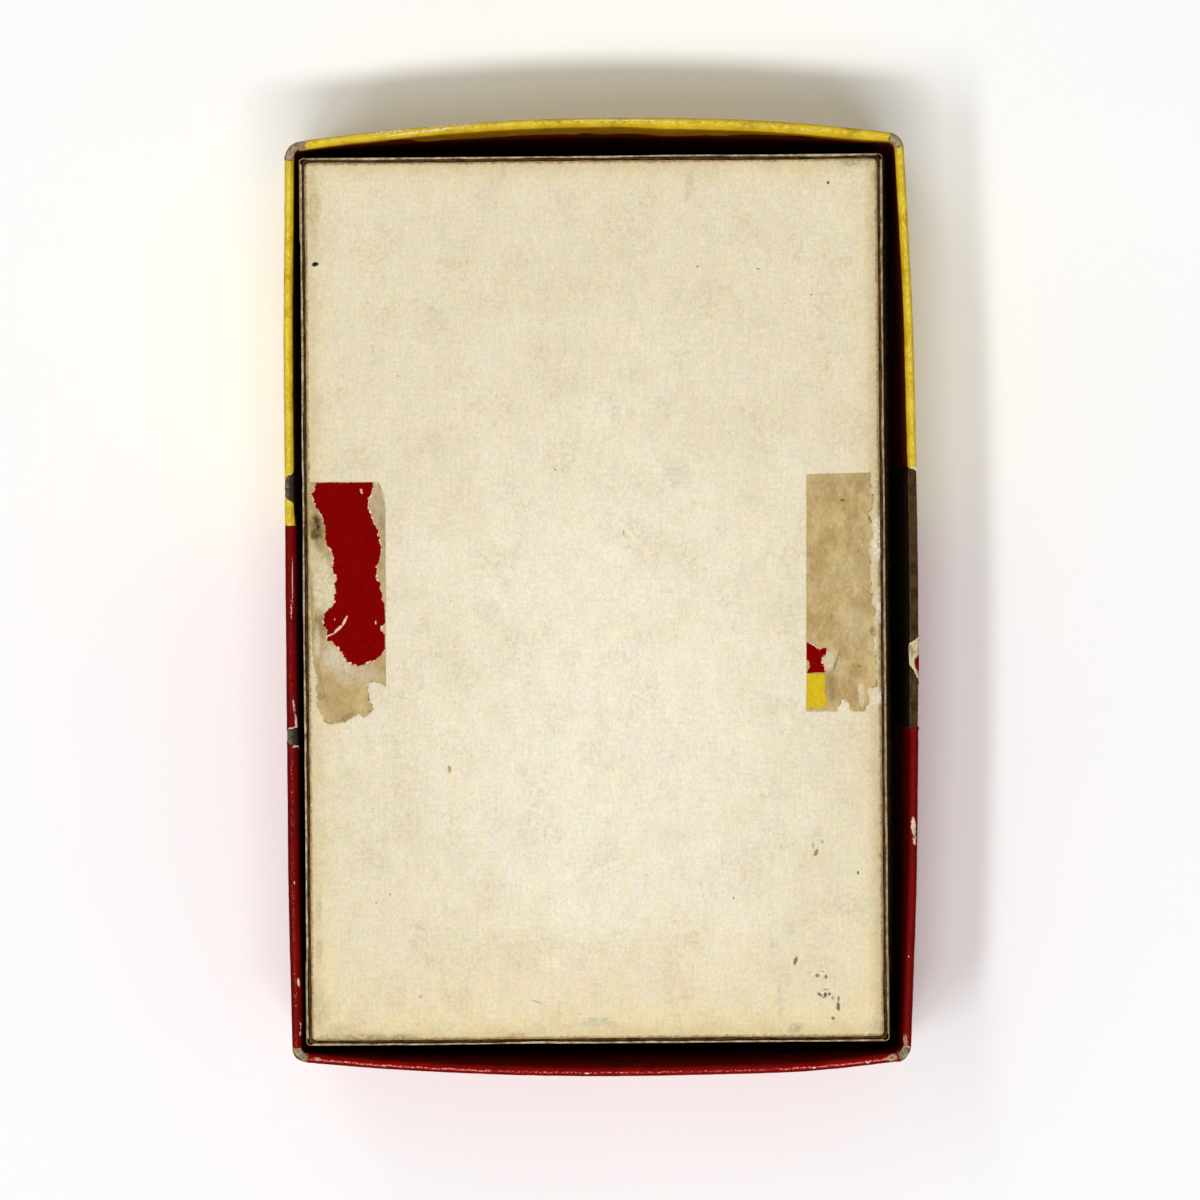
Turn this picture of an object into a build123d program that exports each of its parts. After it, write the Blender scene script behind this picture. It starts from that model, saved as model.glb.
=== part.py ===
from build123d import *
from math import sin
import os

# Two-piece card game box, lid face down on the floor and tray upside down inside it.
# Origin at the centre of the lid's outer face, +Y along the length, +Z up through the box.

# Cards
card_width = 57.2
card_length = 88.9
card_thickness = 0.30
card_corner_radius = 3.2
card_count = 45
card_air = 0.02
card_scatter = 0.25

# Rules leaflet, one sheet folded once
leaflet_width = 54.0
leaflet_length = 84.0
leaflet_paper = 0.12
leaflet_fold_gap = 0.24

# Boards, papers and the glue lines between them
lid_board_thickness = 0.75
tray_board_thickness = 0.70
wrap_paper = 0.10
face_paper = 0.10
stay_paper = 0.10
panel_liner = 0.20
wall_liner = 0.20
seal_paper = 0.08
seal_print = 0.03
glue = 0.02

# Room beside the cards in the tray
card_side_clearance = 1.78
card_end_clearance = 2.33
loose_gap = 0.05

# Scored fold round the tray's bottom
score_width = 0.32
score_depth = 0.25
liner_step = 0.10
liner_corner_cut = 0.75
tray_corner_radius = 0.4

# Fit of the lid over the tray
lid_side_gap = 1.01
lid_end_gap = 1.11
panel_proud = 0.35
tray_shift = -0.40

# Lid, with walls that swell outwards at the rim
lid_depth = 22.0
lid_inner_radius = 0.8
bow_top = 2.0
bow_bottom = 1.4
bow_right = 1.1
bow_left = 0.43
bow_spans = 8
turn_in_depth = 8.0
corner_slit = 0.10

# Corner stays
lid_stay_leg = 9.0
tray_stay_leg = 9.0
tray_stay_margin = 1.5

# Worn and torn places of the lid's wrap
bare_corner = 2.2
bare_corner_drop = 1.0
right_tear_length = 27.8
right_tear_center = 0.1
right_tear_drop = 9.0
upper_left_tear_length = 2.9
upper_left_tear_center = 12.7
lower_left_tear_length = 2.3
lower_left_tear_center = -14.6
left_tear_drop = 4.0

# Scrap of seal paper on the right wall's rim
scrap_length = 4.4
scrap_center = -6.9
scrap_setback = 0.1

# Torn seals on the tray's bottom
seal_length = 25.8
left_seal_reach = 8.35
left_seal_center = -0.13
left_seal_margin = 0.05
right_seal_reach = 7.66
right_seal_center = 0.47
right_seal_margin = 0.30

# Outlines of the torn seals: share of the reach from the panel's edge inwards, share of the length
left_paper_outline = [
    (0.00, 0.50), (1.00, 0.50), (1.00, -0.36), (0.76, -0.35), (0.80, -0.45), (0.55, -0.50), (0.00, -0.50),
]
left_print_outline = [
    (0.11, 0.49), (0.85, 0.49), (0.80, 0.41), (0.98, 0.25), (0.90, 0.13), (0.98, 0.01), (0.98, -0.20),
    (0.61, -0.26), (0.45, -0.205), (0.24, -0.14), (0.21, -0.04), (0.33, -0.01), (0.33, 0.15), (0.05, 0.46),
]
right_paper_outline = [
    (0.09, 0.50), (0.00, 0.39), (0.05, 0.14), (0.01, -0.20), (0.09, -0.50), (0.37, -0.50), (0.40, -0.43),
    (0.58, -0.43), (0.61, -0.50), (1.00, -0.50), (1.00, 0.50),
]
right_red_outline = [(0.725, -0.203), (1.00, -0.203), (1.00, -0.332), (0.725, -0.332)]
right_yellow_outline = [(0.725, -0.337), (1.00, -0.337), (1.00, -0.478), (0.725, -0.478)]

# Sizes that follow from the values above
tray_wall = wall_liner + glue + tray_board_thickness
tray_width = card_width + 2 * (card_side_clearance + tray_wall)
tray_length = card_length + 2 * (card_end_clearance + tray_wall)
lid_wall = wrap_paper + glue + lid_board_thickness + glue + wrap_paper
lid_width = tray_width + 2 * (lid_side_gap + lid_wall)
lid_length = tray_length + 2 * (lid_end_gap + lid_wall)
lid_corner_radius = lid_inner_radius + lid_wall
beyond = 2 * (lid_length + lid_depth)

# Heights, from the floor up
lid_board_low = face_paper + glue
lid_inner_face = lid_board_low + lid_board_thickness
lid_board_top = lid_depth - wrap_paper - glue
leaflet_low = lid_inner_face + loose_gap
leaflet_thickness = 2 * leaflet_paper + leaflet_fold_gap
deck_low = leaflet_low + leaflet_thickness + loose_gap
card_pitch = card_thickness + card_air
deck_top = deck_low + card_count * card_pitch - card_air
tray_rim = lid_inner_face + loose_gap
panel_top = lid_depth + panel_proud
panel_low = panel_top - panel_liner
tray_board_top = panel_low - glue
tray_ceiling = tray_board_top - tray_board_thickness
liner_top = panel_top - liner_step

# How far each layer of the lid's wall lies inside its outer surface
board_inset = wrap_paper + glue
stay_inset = board_inset + stay_paper + glue
board_inner_inset = board_inset + lid_board_thickness

# Half sizes of the tray's layers
core_half_x = tray_width / 2 - wall_liner - glue
core_half_y = tray_length / 2 - wall_liner - glue
panel_half_x = core_half_x - score_width
panel_half_y = core_half_y - score_width


def block(low, high):
    """A box between two corners."""
    size = Vector(*high) - Vector(*low)
    middle = (Vector(*high) + Vector(*low)) / 2
    return Pos(middle.X, middle.Y, middle.Z) * Box(size.X, size.Y, size.Z)


def slab(low, high):
    """Everything between two heights."""
    return block((-beyond, -beyond, low), (beyond, beyond, high))


def lid_side(start, end, outwards):
    """One side of the lid's outline, bowed outwards by a vector, in a row of short spans."""
    def along(share):
        return start + (end - start) * share + outwards * (4 * share * (1 - share))

    spans = []
    for number in range(bow_spans):
        first = along(number / bow_spans)
        middle = along((number + 0.5) / bow_spans)
        last = along((number + 1) / bow_spans)
        straight = outwards.length == 0
        spans.append(Line(first, last) if straight else ThreePointArc(first, middle, last))
    return spans


def lid_outline(inset, swelling, height):
    """Rounded outline of the lid moved inwards by inset, bowed by a share of its full swelling."""
    radius = lid_corner_radius - inset
    run_x = lid_width / 2 - lid_corner_radius
    run_y = lid_length / 2 - lid_corner_radius
    reach_x = run_x + radius
    reach_y = run_y + radius
    ends = [
        (Vector(reach_x, -run_y, height), Vector(reach_x, run_y, height), Vector(bow_right, 0)),
        (Vector(run_x, reach_y, height), Vector(-run_x, reach_y, height), Vector(0, bow_top)),
        (Vector(-reach_x, run_y, height), Vector(-reach_x, -run_y, height), Vector(-bow_left, 0)),
        (Vector(-run_x, -reach_y, height), Vector(run_x, -reach_y, height), Vector(0, -bow_bottom)),
    ]
    centers = [(run_x, run_y, height), (-run_x, run_y, height), (-run_x, -run_y, height), (run_x, -run_y, height)]
    edges = []
    for number, (start, end, bow) in enumerate(ends):
        edges += lid_side(start, end, bow * swelling)
        edges.append(CenterArc(centers[number], radius, 90 * number, 90))
    return Wire(edges)


def lid_form(inset):
    """The lid's outer form moved inwards by inset, straight at the face and bowed at the rim."""
    return Part() + Solid.make_loft([lid_outline(inset, 0, 0), lid_outline(inset, 1, lid_depth)], ruled=True)


def lid_corner_zone(side_x, side_y, leg, low, high):
    """The space round one corner of the lid, within leg of it each way."""
    near = (side_x * (lid_width / 2 - leg), side_y * (lid_length / 2 - leg))
    far = (side_x * (lid_width / 2 + leg), side_y * (lid_length / 2 + leg))
    xs = sorted((near[0], far[0]))
    ys = sorted((near[1], far[1]))
    return block((xs[0], ys[0], low), (xs[1], ys[1], high))


def lid_board_blank():
    """Chipboard face and folded walls, pressed in under the stays and butted at the corners."""
    board = lid_form(board_inset) & slab(lid_board_low, lid_board_top)
    board -= lid_form(board_inner_inset) & slab(lid_inner_face, lid_depth)
    under_stays = lid_form(stay_inset)
    slit_x = lid_width / 2 - board_inner_inset
    slit_y = lid_length / 2 - board_inner_inset - lid_inner_radius
    for side_x in (-1, 1):
        for side_y in (-1, 1):
            zone = lid_corner_zone(side_x, side_y, lid_stay_leg + glue, lid_inner_face, lid_depth)
            board -= zone - under_stays
            slit_xs = sorted((side_x * (slit_x - corner_slit), side_x * slit_x))
            slit_ys = sorted((side_y * slit_y, side_y * lid_length))
            board -= block((slit_xs[0], slit_ys[0], lid_inner_face), (slit_xs[1], slit_ys[1], lid_depth))
    return board


def lid_stay(side_x, side_y):
    """Paper strip folded round one corner of the lid's board."""
    ring = lid_form(board_inset) - lid_form(board_inset + stay_paper)
    return ring & lid_corner_zone(side_x, side_y, lid_stay_leg, lid_inner_face + glue, lid_board_top)


def lid_face_sheet():
    """Printed paper on the lid's face."""
    return lid_form(0) & slab(0, face_paper)


def wrap_tear(side, center, length, drop):
    """The space of a torn place in a side wall's wrap, open at the rim."""
    xs = sorted((side * (lid_width / 2 - lid_wall - glue), side * lid_width))
    low = lid_depth - drop
    return block((xs[0], center - length / 2, low), (xs[1], center + length / 2, lid_depth + drop))


def lid_side_wrap():
    """Printed paper band round the walls, folded over the rim and turned in."""
    wrap = (lid_form(0) - lid_form(lid_wall)) & slab(face_paper + glue, lid_depth)
    board_space = lid_form(wrap_paper) - lid_form(lid_wall - wrap_paper)
    wrap -= board_space & slab(0, lid_depth - wrap_paper)
    wrap -= lid_form(lid_wall - wrap_paper - glue) & slab(0, lid_depth - turn_in_depth)
    wrap -= wrap_tear(1, right_tear_center, right_tear_length, right_tear_drop)
    wrap -= wrap_tear(-1, upper_left_tear_center, upper_left_tear_length, left_tear_drop)
    wrap -= wrap_tear(-1, lower_left_tear_center, lower_left_tear_length, left_tear_drop)
    for side_x in (-1, 1):
        for side_y in (-1, 1):
            top = lid_depth + bare_corner_drop
            wrap -= lid_corner_zone(side_x, side_y, bare_corner, lid_depth - bare_corner_drop, top)
    return wrap


def lid_seal_scrap():
    """Torn scrap of seal paper on the bare rim of the right wall."""
    ring = lid_form(board_inset + scrap_setback) - lid_form(board_inner_inset - scrap_setback)
    low = lid_board_top + glue
    half = scrap_length / 2
    place = block((0, scrap_center - half, low), (lid_width, scrap_center + half, low + seal_paper))
    return ring & place


def tray_prism(half_x, half_y, radius, low, high):
    """Upright rounded block about the tray's centre."""
    outline = Pos(tray_shift, 0, low) * RectangleRounded(2 * half_x, 2 * half_y, radius)
    return extrude(outline, high - low)


def tray_board_blank():
    """Chipboard bottom and folded walls, half cut round the bottom and butted at the corners."""
    inner_x = core_half_x - tray_board_thickness
    inner_y = core_half_y - tray_board_thickness
    board = tray_prism(core_half_x, core_half_y, tray_corner_radius, tray_rim, tray_board_top)
    board -= block((tray_shift - inner_x, -inner_y, 0), (tray_shift + inner_x, inner_y, tray_ceiling))
    score = slab(tray_board_top - score_depth, beyond)
    score -= block((tray_shift - panel_half_x, -panel_half_y, 0), (tray_shift + panel_half_x, panel_half_y, 2 * beyond))
    board -= score
    for side_x in (-1, 1):
        for side_y in (-1, 1):
            xs = sorted((tray_shift + side_x * (inner_x - corner_slit), tray_shift + side_x * inner_x))
            ys = sorted((side_y * (inner_y - corner_slit), side_y * tray_length))
            board -= block((xs[0], ys[0], 0), (xs[1], ys[1], tray_ceiling))
    return board


def tray_panel_liner():
    """Cream lining of the tray's bottom, inside the scored fold."""
    return tray_prism(panel_half_x, panel_half_y, tray_corner_radius, panel_low, panel_top)


def tray_side_liner(side):
    """Pale lining of a long wall of the tray."""
    xs = sorted((tray_shift + side * (core_half_x + glue), tray_shift + side * tray_width / 2))
    half_y = tray_length / 2 - liner_corner_cut
    return block((xs[0], -half_y, tray_rim), (xs[1], half_y, liner_top))


def tray_end_liner(side):
    """Pale lining of a short wall of the tray."""
    ys = sorted((side * (core_half_y + glue), side * tray_length / 2))
    half_x = core_half_x - tray_corner_radius
    return block((tray_shift - half_x, ys[0], tray_rim), (tray_shift + half_x, ys[1], liner_top))


def tray_stay(side_x, side_y):
    """Paper strip folded round one corner of the tray, short of its rim and of its bottom."""
    low = tray_rim + tray_stay_margin
    high = panel_top - tray_stay_margin
    outer = glue + stay_paper
    half_x = tray_width / 2
    half_y = tray_length / 2
    strip = tray_prism(half_x + outer, half_y + outer, tray_corner_radius + outer, low, high)
    strip -= tray_prism(half_x + glue, half_y + glue, tray_corner_radius + glue, low, high)
    xs = sorted((tray_shift + side_x * (half_x - tray_stay_leg), tray_shift + side_x * tray_width))
    ys = sorted((side_y * (half_y - tray_stay_leg), side_y * tray_length))
    return strip & block((xs[0], ys[0], low), (xs[1], ys[1], high))


def seal_layer(side, outline, low, thickness):
    """One layer of a torn seal, from shares of its reach and length to a thin plate."""
    reach, center, margin = {
        -1: (left_seal_reach, left_seal_center, left_seal_margin),
        1: (right_seal_reach, right_seal_center, right_seal_margin),
    }[side]
    edge = tray_shift + side * (panel_half_x - margin)
    corners = [(edge - side * across * reach, center + along * seal_length) for across, along in outline]
    return Pos(0, 0, low) * extrude(make_face(Polyline(*corners, close=True)), thickness)


def playing_cards():
    """The deck, each card a separate solid lying a little off its neighbours."""
    card = extrude(RectangleRounded(card_width, card_length, card_corner_radius), card_thickness)
    cards = []
    for number in range(card_count):
        slide_x = card_scatter * sin(2.4 * number)
        slide_y = card_scatter * sin(1.7 * number + 1)
        cards.append(Pos(tray_shift + slide_x, slide_y, deck_low + number * card_pitch) * card)
    return Compound(children=cards)


def rules_leaflet():
    """One sheet folded once, its fold along the left edge."""
    half_x = leaflet_width / 2
    half_y = leaflet_length / 2
    top = leaflet_low + leaflet_thickness
    sheet = block((tray_shift - half_x, -half_y, leaflet_low), (tray_shift + half_x, half_y, top))
    fold = sheet.edges().filter_by(Axis.Y).group_by(Axis.X)[0]
    sheet = fillet(fold, leaflet_paper)
    gap_start = tray_shift - half_x + leaflet_paper
    sheet -= block(
        (gap_start, -leaflet_length, leaflet_low + leaflet_paper),
        (tray_shift + leaflet_width, leaflet_length, top - leaflet_paper),
    )
    return sheet


def save(node, shape):
    """One file for one node."""
    export_step(shape, f"parts/{node}.step")


def build():
    """Every piece of the box, saved under its own name."""
    os.makedirs("parts", exist_ok=True)
    save("lid_board", lid_board_blank())
    save("lid_face_sheet", lid_face_sheet())
    save("lid_side_wrap", lid_side_wrap())
    save("lid_seal_scrap", lid_seal_scrap())
    save("tray_board", tray_board_blank())
    save("tray_panel_liner", tray_panel_liner())
    for side_y, end in ((1, "top"), (-1, "bottom")):
        save(f"tray_liner_{end}", tray_end_liner(side_y))
        for side_x, hand in ((-1, "left"), (1, "right")):
            save(f"lid_stay_{end}_{hand}", lid_stay(side_x, side_y))
            save(f"tray_stay_{end}_{hand}", tray_stay(side_x, side_y))
    for side_x, hand in ((-1, "left"), (1, "right")):
        save(f"tray_liner_{hand}", tray_side_liner(side_x))

    paper_low = panel_top + glue
    print_low = paper_low + seal_paper
    save("seal_left_paper", seal_layer(-1, left_paper_outline, paper_low, seal_paper))
    save("seal_left_print", seal_layer(-1, left_print_outline, print_low, seal_print))
    save("seal_right_paper", seal_layer(1, right_paper_outline, paper_low, seal_paper))
    save("seal_right_red", seal_layer(1, right_red_outline, print_low, seal_print))
    save("seal_right_yellow", seal_layer(1, right_yellow_outline, print_low, seal_print))
    save("playing_cards", playing_cards())
    save("rules_leaflet", rules_leaflet())


build()
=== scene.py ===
import functools
import math
import bmesh
import bpy
import numpy as np
from mathutils import Matrix, Vector


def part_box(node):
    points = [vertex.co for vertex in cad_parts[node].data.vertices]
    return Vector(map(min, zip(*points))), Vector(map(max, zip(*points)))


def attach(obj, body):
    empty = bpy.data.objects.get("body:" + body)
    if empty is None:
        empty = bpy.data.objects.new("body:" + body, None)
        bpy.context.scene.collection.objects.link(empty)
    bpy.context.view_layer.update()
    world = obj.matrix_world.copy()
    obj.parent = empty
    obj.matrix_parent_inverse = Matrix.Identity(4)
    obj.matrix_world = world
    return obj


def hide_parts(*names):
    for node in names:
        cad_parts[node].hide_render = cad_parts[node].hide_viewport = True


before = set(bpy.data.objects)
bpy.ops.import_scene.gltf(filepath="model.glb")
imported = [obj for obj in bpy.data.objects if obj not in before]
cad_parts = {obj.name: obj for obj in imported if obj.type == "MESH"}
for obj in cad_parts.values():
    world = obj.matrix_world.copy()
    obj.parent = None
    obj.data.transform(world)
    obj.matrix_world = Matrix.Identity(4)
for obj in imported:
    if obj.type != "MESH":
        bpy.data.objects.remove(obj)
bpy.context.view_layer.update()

# Everything below is worked out in millimetres, and meshes are written in metres
MM = 0.001
TINY = 1e-6
SHARP_ANGLE = 40


def box_mm(node):
    """Lowest and highest corner of a CAD node, in millimetres."""
    low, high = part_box(node)
    return np.array(low) / MM, np.array(high) / MM


face_high = box_mm("lid_face_sheet")[1]
wrap_low, wrap_high = box_mm("lid_side_wrap")
board_high = box_mm("lid_board")[1]
panel_low, panel_high = box_mm("tray_panel_liner")
tray_top = box_mm("tray_board")[1][2]

# The lid's form: straight at the face and bowed at the rim, its right side a little longer than its left by the skew
half_x = face_high[0]
half_y = face_high[1]
lid_depth = wrap_high[2]
corner_radius = 1.79
wall_thickness = 0.99
skew = 0.23
run_x = half_x - corner_radius
run_y = half_y - corner_radius

# The lid's wall is one surface: s runs round it through eight parts, from the right side by way of the top,
# and t runs up the outside, over the rim and down inside
quarter = math.pi / 2 * corner_radius
sides = (2 * run_y, quarter, 2 * run_x, quarter, 2 * run_y, quarter, 2 * run_x, quarter)
starts = np.concatenate([[0], np.cumsum(sides)])
around = starts[-1]
RIGHT, TOP, LEFT, BOTTOM = 0, 2, 4, 6
wrap_over_board = 0.12
side_bows = {RIGHT: board_high[0] + wrap_over_board - half_x, TOP: wrap_high[1] - half_y,
             LEFT: 0.32, BOTTOM: -wrap_low[1] - half_y}
side_normals = {RIGHT: (1, 0), TOP: (0, 1), LEFT: (-1, 0), BOTTOM: (0, -1)}
corner_centres = {1: (run_x, run_y), 3: (-run_x, run_y), 5: (-run_x, -run_y), 7: (run_x, -run_y)}
corner_names = {1: "top_right", 3: "top_left", 5: "bottom_left", 7: "bottom_right"}

# How far the rim is bare on both sides of each corner's middle
bare_corners = {1: 0.95, 3: 1.85, 5: 1.35, 7: 0.80}

# Small swellings of the rim beside its even bows: place along the side, half width, height
rim_swellings = {
    RIGHT: [(4.0, 22.0, 0.13), (31.0, 9.0, 0.13), (-31.0, 10.0, 0.10)],
    TOP: [(-20.0, 8.0, 0.11), (0.0, 30.0, 0.04)],
    LEFT: [(-30.0, 10.0, 0.09), (32.0, 10.0, 0.09)],
    BOTTOM: [(23.5, 9.0, 0.26), (0.0, 30.0, 0.13)],
}

# The rim's section: its height, how square its round is, the length of t over it, and how far the wrap is turned in
rim_height = 0.44
rim_square = 2.3
rim_arc = 1.55
turn_in = 7.2
shoulder = lid_depth - rim_height

# Torn places of the wrap by their y on the side walls, how far the right one goes down its wall,
# and how much the left ones widen over the rim
right_tear = (-13.95, 13.45)
right_tear_drop = 9.0
left_tears = ((13.9, 10.75), (-13.6, -15.45))
tear_flares = (0.75, 0.25)

# Print on the lid: yellow above this line and red below it
print_line_y = 8.2

# Small marks on the tray's bottom: centre, radii, turn, colour and strength
panel_specks = [
    (-30.1, 36.3, 0.36, 0.24, 10, "181a14", 1), (-16.1, -18.1, 0.17, 0.42, 8, "be9246", 0.9),
    (23.2, -27.4, 0.2, 0.42, -25, "a86834", 0.8), (22.9, -26.6, 0.12, 0.4, 5, "c89e64", 0.7),
    (23.9, -26.2, 0.14, 0.24, 30, "76705a", 0.5), (20.9, -39.0, 0.2, 0.5, -18, "704c2c", 0.8),
    (23.24, -40.6, 0.26, 0.2, 0, "705e40", 0.75), (23.8, -40.15, 0.22, 0.06, 0, "76705a", 0.5),
    (24.16, -40.76, 0.15, 0.22, 0, "58563c", 0.8), (23.7, -40.45, 0.16, 0.12, 0, "f4ecd4", 0.7),
    (24.15, -42.1, 0.36, 0.09, 0, "76705a", 0.6), (23.46, -42.64, 0.3, 0.15, -35, "58563c", 0.85),
    (24.06, -42.7, 0.18, 0.26, 0, "2c2e22", 0.85), (23.85, -42.97, 0.2, 0.07, 0, "58563c", 0.8),
    (24.5, -42.6, 0.18, 0.18, 0, "58563c", 0.85), (23.78, -42.5, 0.15, 0.12, 0, "f4ecd4", 0.8),
    (24.86, -43.0, 0.12, 0.22, 0, "76705a", 0.6), (25.5, -43.1, 0.13, 0.32, 0, "58563c", 0.7),
    (25.46, -43.95, 0.2, 0.46, 3, "604a3a", 0.85), (24.88, -45.2, 0.21, 0.16, -30, "6a603a", 0.8),
    (-6.9, -43.2, 0.7, 0.08, -20, "76705a", 0.5), (-19.4, -42.5, 0.22, 0.2, 0, "a86834", 0.4),
    (-24.1, -32.4, 0.1, 0.1, 0, "704c2c", 0.6), (-22.6, -31.5, 0.09, 0.13, 0, "181a14", 0.6),
    (27.7, -29.6, 0.1, 0.2, 0, "181a14", 0.95), (14.3, -32.2, 0.1, 0.14, 0, "a86834", 0.8),
    (-4.5, 14.0, 0.1, 0.1, 0, "181a14", 0.7), (2.8, 7.2, 0.12, 0.28, 0, "a86834", 0.5),
    (11.0, 35.7, 0.18, 0.12, 0, "76705a", 0.6), (-21.3, 24.2, 0.1, 0.09, 0, "704c2c", 0.7),
    (25.1, 44.6, 0.15, 0.15, 0, "181a14", 0.9), (17.5, 35.4, 0.2, 0.1, -20, "787060", 0.7),
    (23.2, 32.6, 0.11, 0.11, 0, "704c2c", 0.7),
]

# Broad stains on the tray's bottom, by name: colour, and each one's centre, radii, turn and strength
panel_stains = {
    "green": ("8a9068", [
        (20.8, -46.3, 0.8, 0.6, 12, 0.6), (-30.1, -44.0, 0.9, 2.6, 8, 0.35), (-28.0, -45.9, 2.0, 0.8, 0, 0.28),
        (28.4, 46.6, 1.9, 0.4, -6, 0.75),
    ]),
    "grey": ("7e7256", [
        (30.1, -27.6, 0.3, 0.4, 0, 0.6), (-30.3, -33.0, 0.3, 1.0, 0, 0.35), (18.4, -37.2, 0.4, 0.6, 0, 0.26),
        (19.2, -43.2, 0.4, 1.6, 0, 0.25), (20.0, -40.6, 0.4, 1.2, 3, 0.22), (30.3, -46.3, 0.35, 0.7, 0, 0.7),
        (1.0, -45.8, 0.8, 0.3, -8, 0.35), (-25.0, -46.8, 5.0, 0.35, 0, 0.7), (-19.3, -35.0, 0.6, 0.3, -30, 0.25),
        (8.7, 13.4, 1.8, 1.2, -25, 0.2), (-10.0, 45.6, 0.5, 1.2, 0, 0.2), (29.3, -46.0, 0.9, 0.6, 0, 0.3),
    ]),
    "blue": ("989e8e", [
        (20.4, -35.2, 0.7, 1.3, 0, 0.2), (24.2, -36.5, 0.8, 1.0, 0, 0.12), (-0.6, -45.4, 1.7, 0.5, 4, 0.6),
    ]),
    "brown": ("9c7c4e", [
        (-30.3, -37.3, 0.35, 1.1, 0, 0.5), (-15.5, -42.9, 1.6, 1.4, 0, 0.22), (-21.8, -42.6, 1.5, 1.2, 20, 0.18),
        (-9.0, -46.8, 0.9, 0.4, 0, 0.8), (30.2, 45.2, 0.4, 1.2, 0, 0.6), (30.2, -22.5, 0.4, 0.5, 0, 0.4),
        (-30.2, 42.5, 0.7, 3.4, 0, 0.35), (10.2, 44.8, 0.5, 1.6, 0, 0.25),
    ]),
    "cream": ("f4edd6", [
        (30.1, 6.6, 0.5, 2.2, 0, 0.95), (30.3, -0.8, 0.4, 1.5, 0, 0.9), (30.0, -10.6, 0.7, 1.0, 0, 0.8),
    ]),
}

# Chips in the wrap: side, place along it, place over the rim, half sizes, turn and whether broken up
wrap_marks = [
    (TOP, -18.1, 0.8, 4.3, 0.075, 2, True), (TOP, -22.0, 0.4, 2.2, 0.11, 1, True),
    (TOP, -15.5, 0.34, 3.0, 0.12, 0, True), (TOP, 3.0, 0.62, 6.0, 0.04, 0, True),
    (LEFT, 2.2, 0.92, 2.3, 0.032, 0, False), (LEFT, -0.8, 0.8, 1.0, 0.045, 0, True),
    (LEFT, -11.6, 1.0, 1.2, 0.1, 6, True), (LEFT, -13.0, 1.18, 0.7, 0.15, 0, False),
    (LEFT, -41.1, 1.0, 0.45, 0.12, 4, False), (LEFT, -45.7, 1.1, 0.5, 0.08, 4, True),
    (LEFT, -46.6, 1.1, 0.25, 0.09, 0, False), (LEFT, -30.3, 0.85, 0.16, 0.05, 0, False),
    (RIGHT, -24.6, 0.75, 0.95, 0.21, 3, False), (RIGHT, -26.0, 0.62, 0.55, 0.2, 0, True),
    (RIGHT, -38.5, 0.9, 0.08, 0.06, 0, False), (RIGHT, -47.5, 0.95, 0.7, 0.22, 8, True),
    (BOTTOM, 31.3, 0.8, 0.55, 0.42, 20, True), (BOTTOM, -30.6, 0.78, 0.3, 0.16, 0, False),
    (BOTTOM, -23.4, 0.66, 0.22, 0.07, 0, False), (BOTTOM, -1.6, 0.66, 0.25, 0.07, 0, False),
    (BOTTOM, 22.8, 0.66, 0.2, 0.09, 0, False), (BOTTOM, 28.6, 0.64, 0.2, 0.08, 0, False),
    (BOTTOM, 30.6, 0.75, 0.3, 0.16, 0, True),
]

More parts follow.
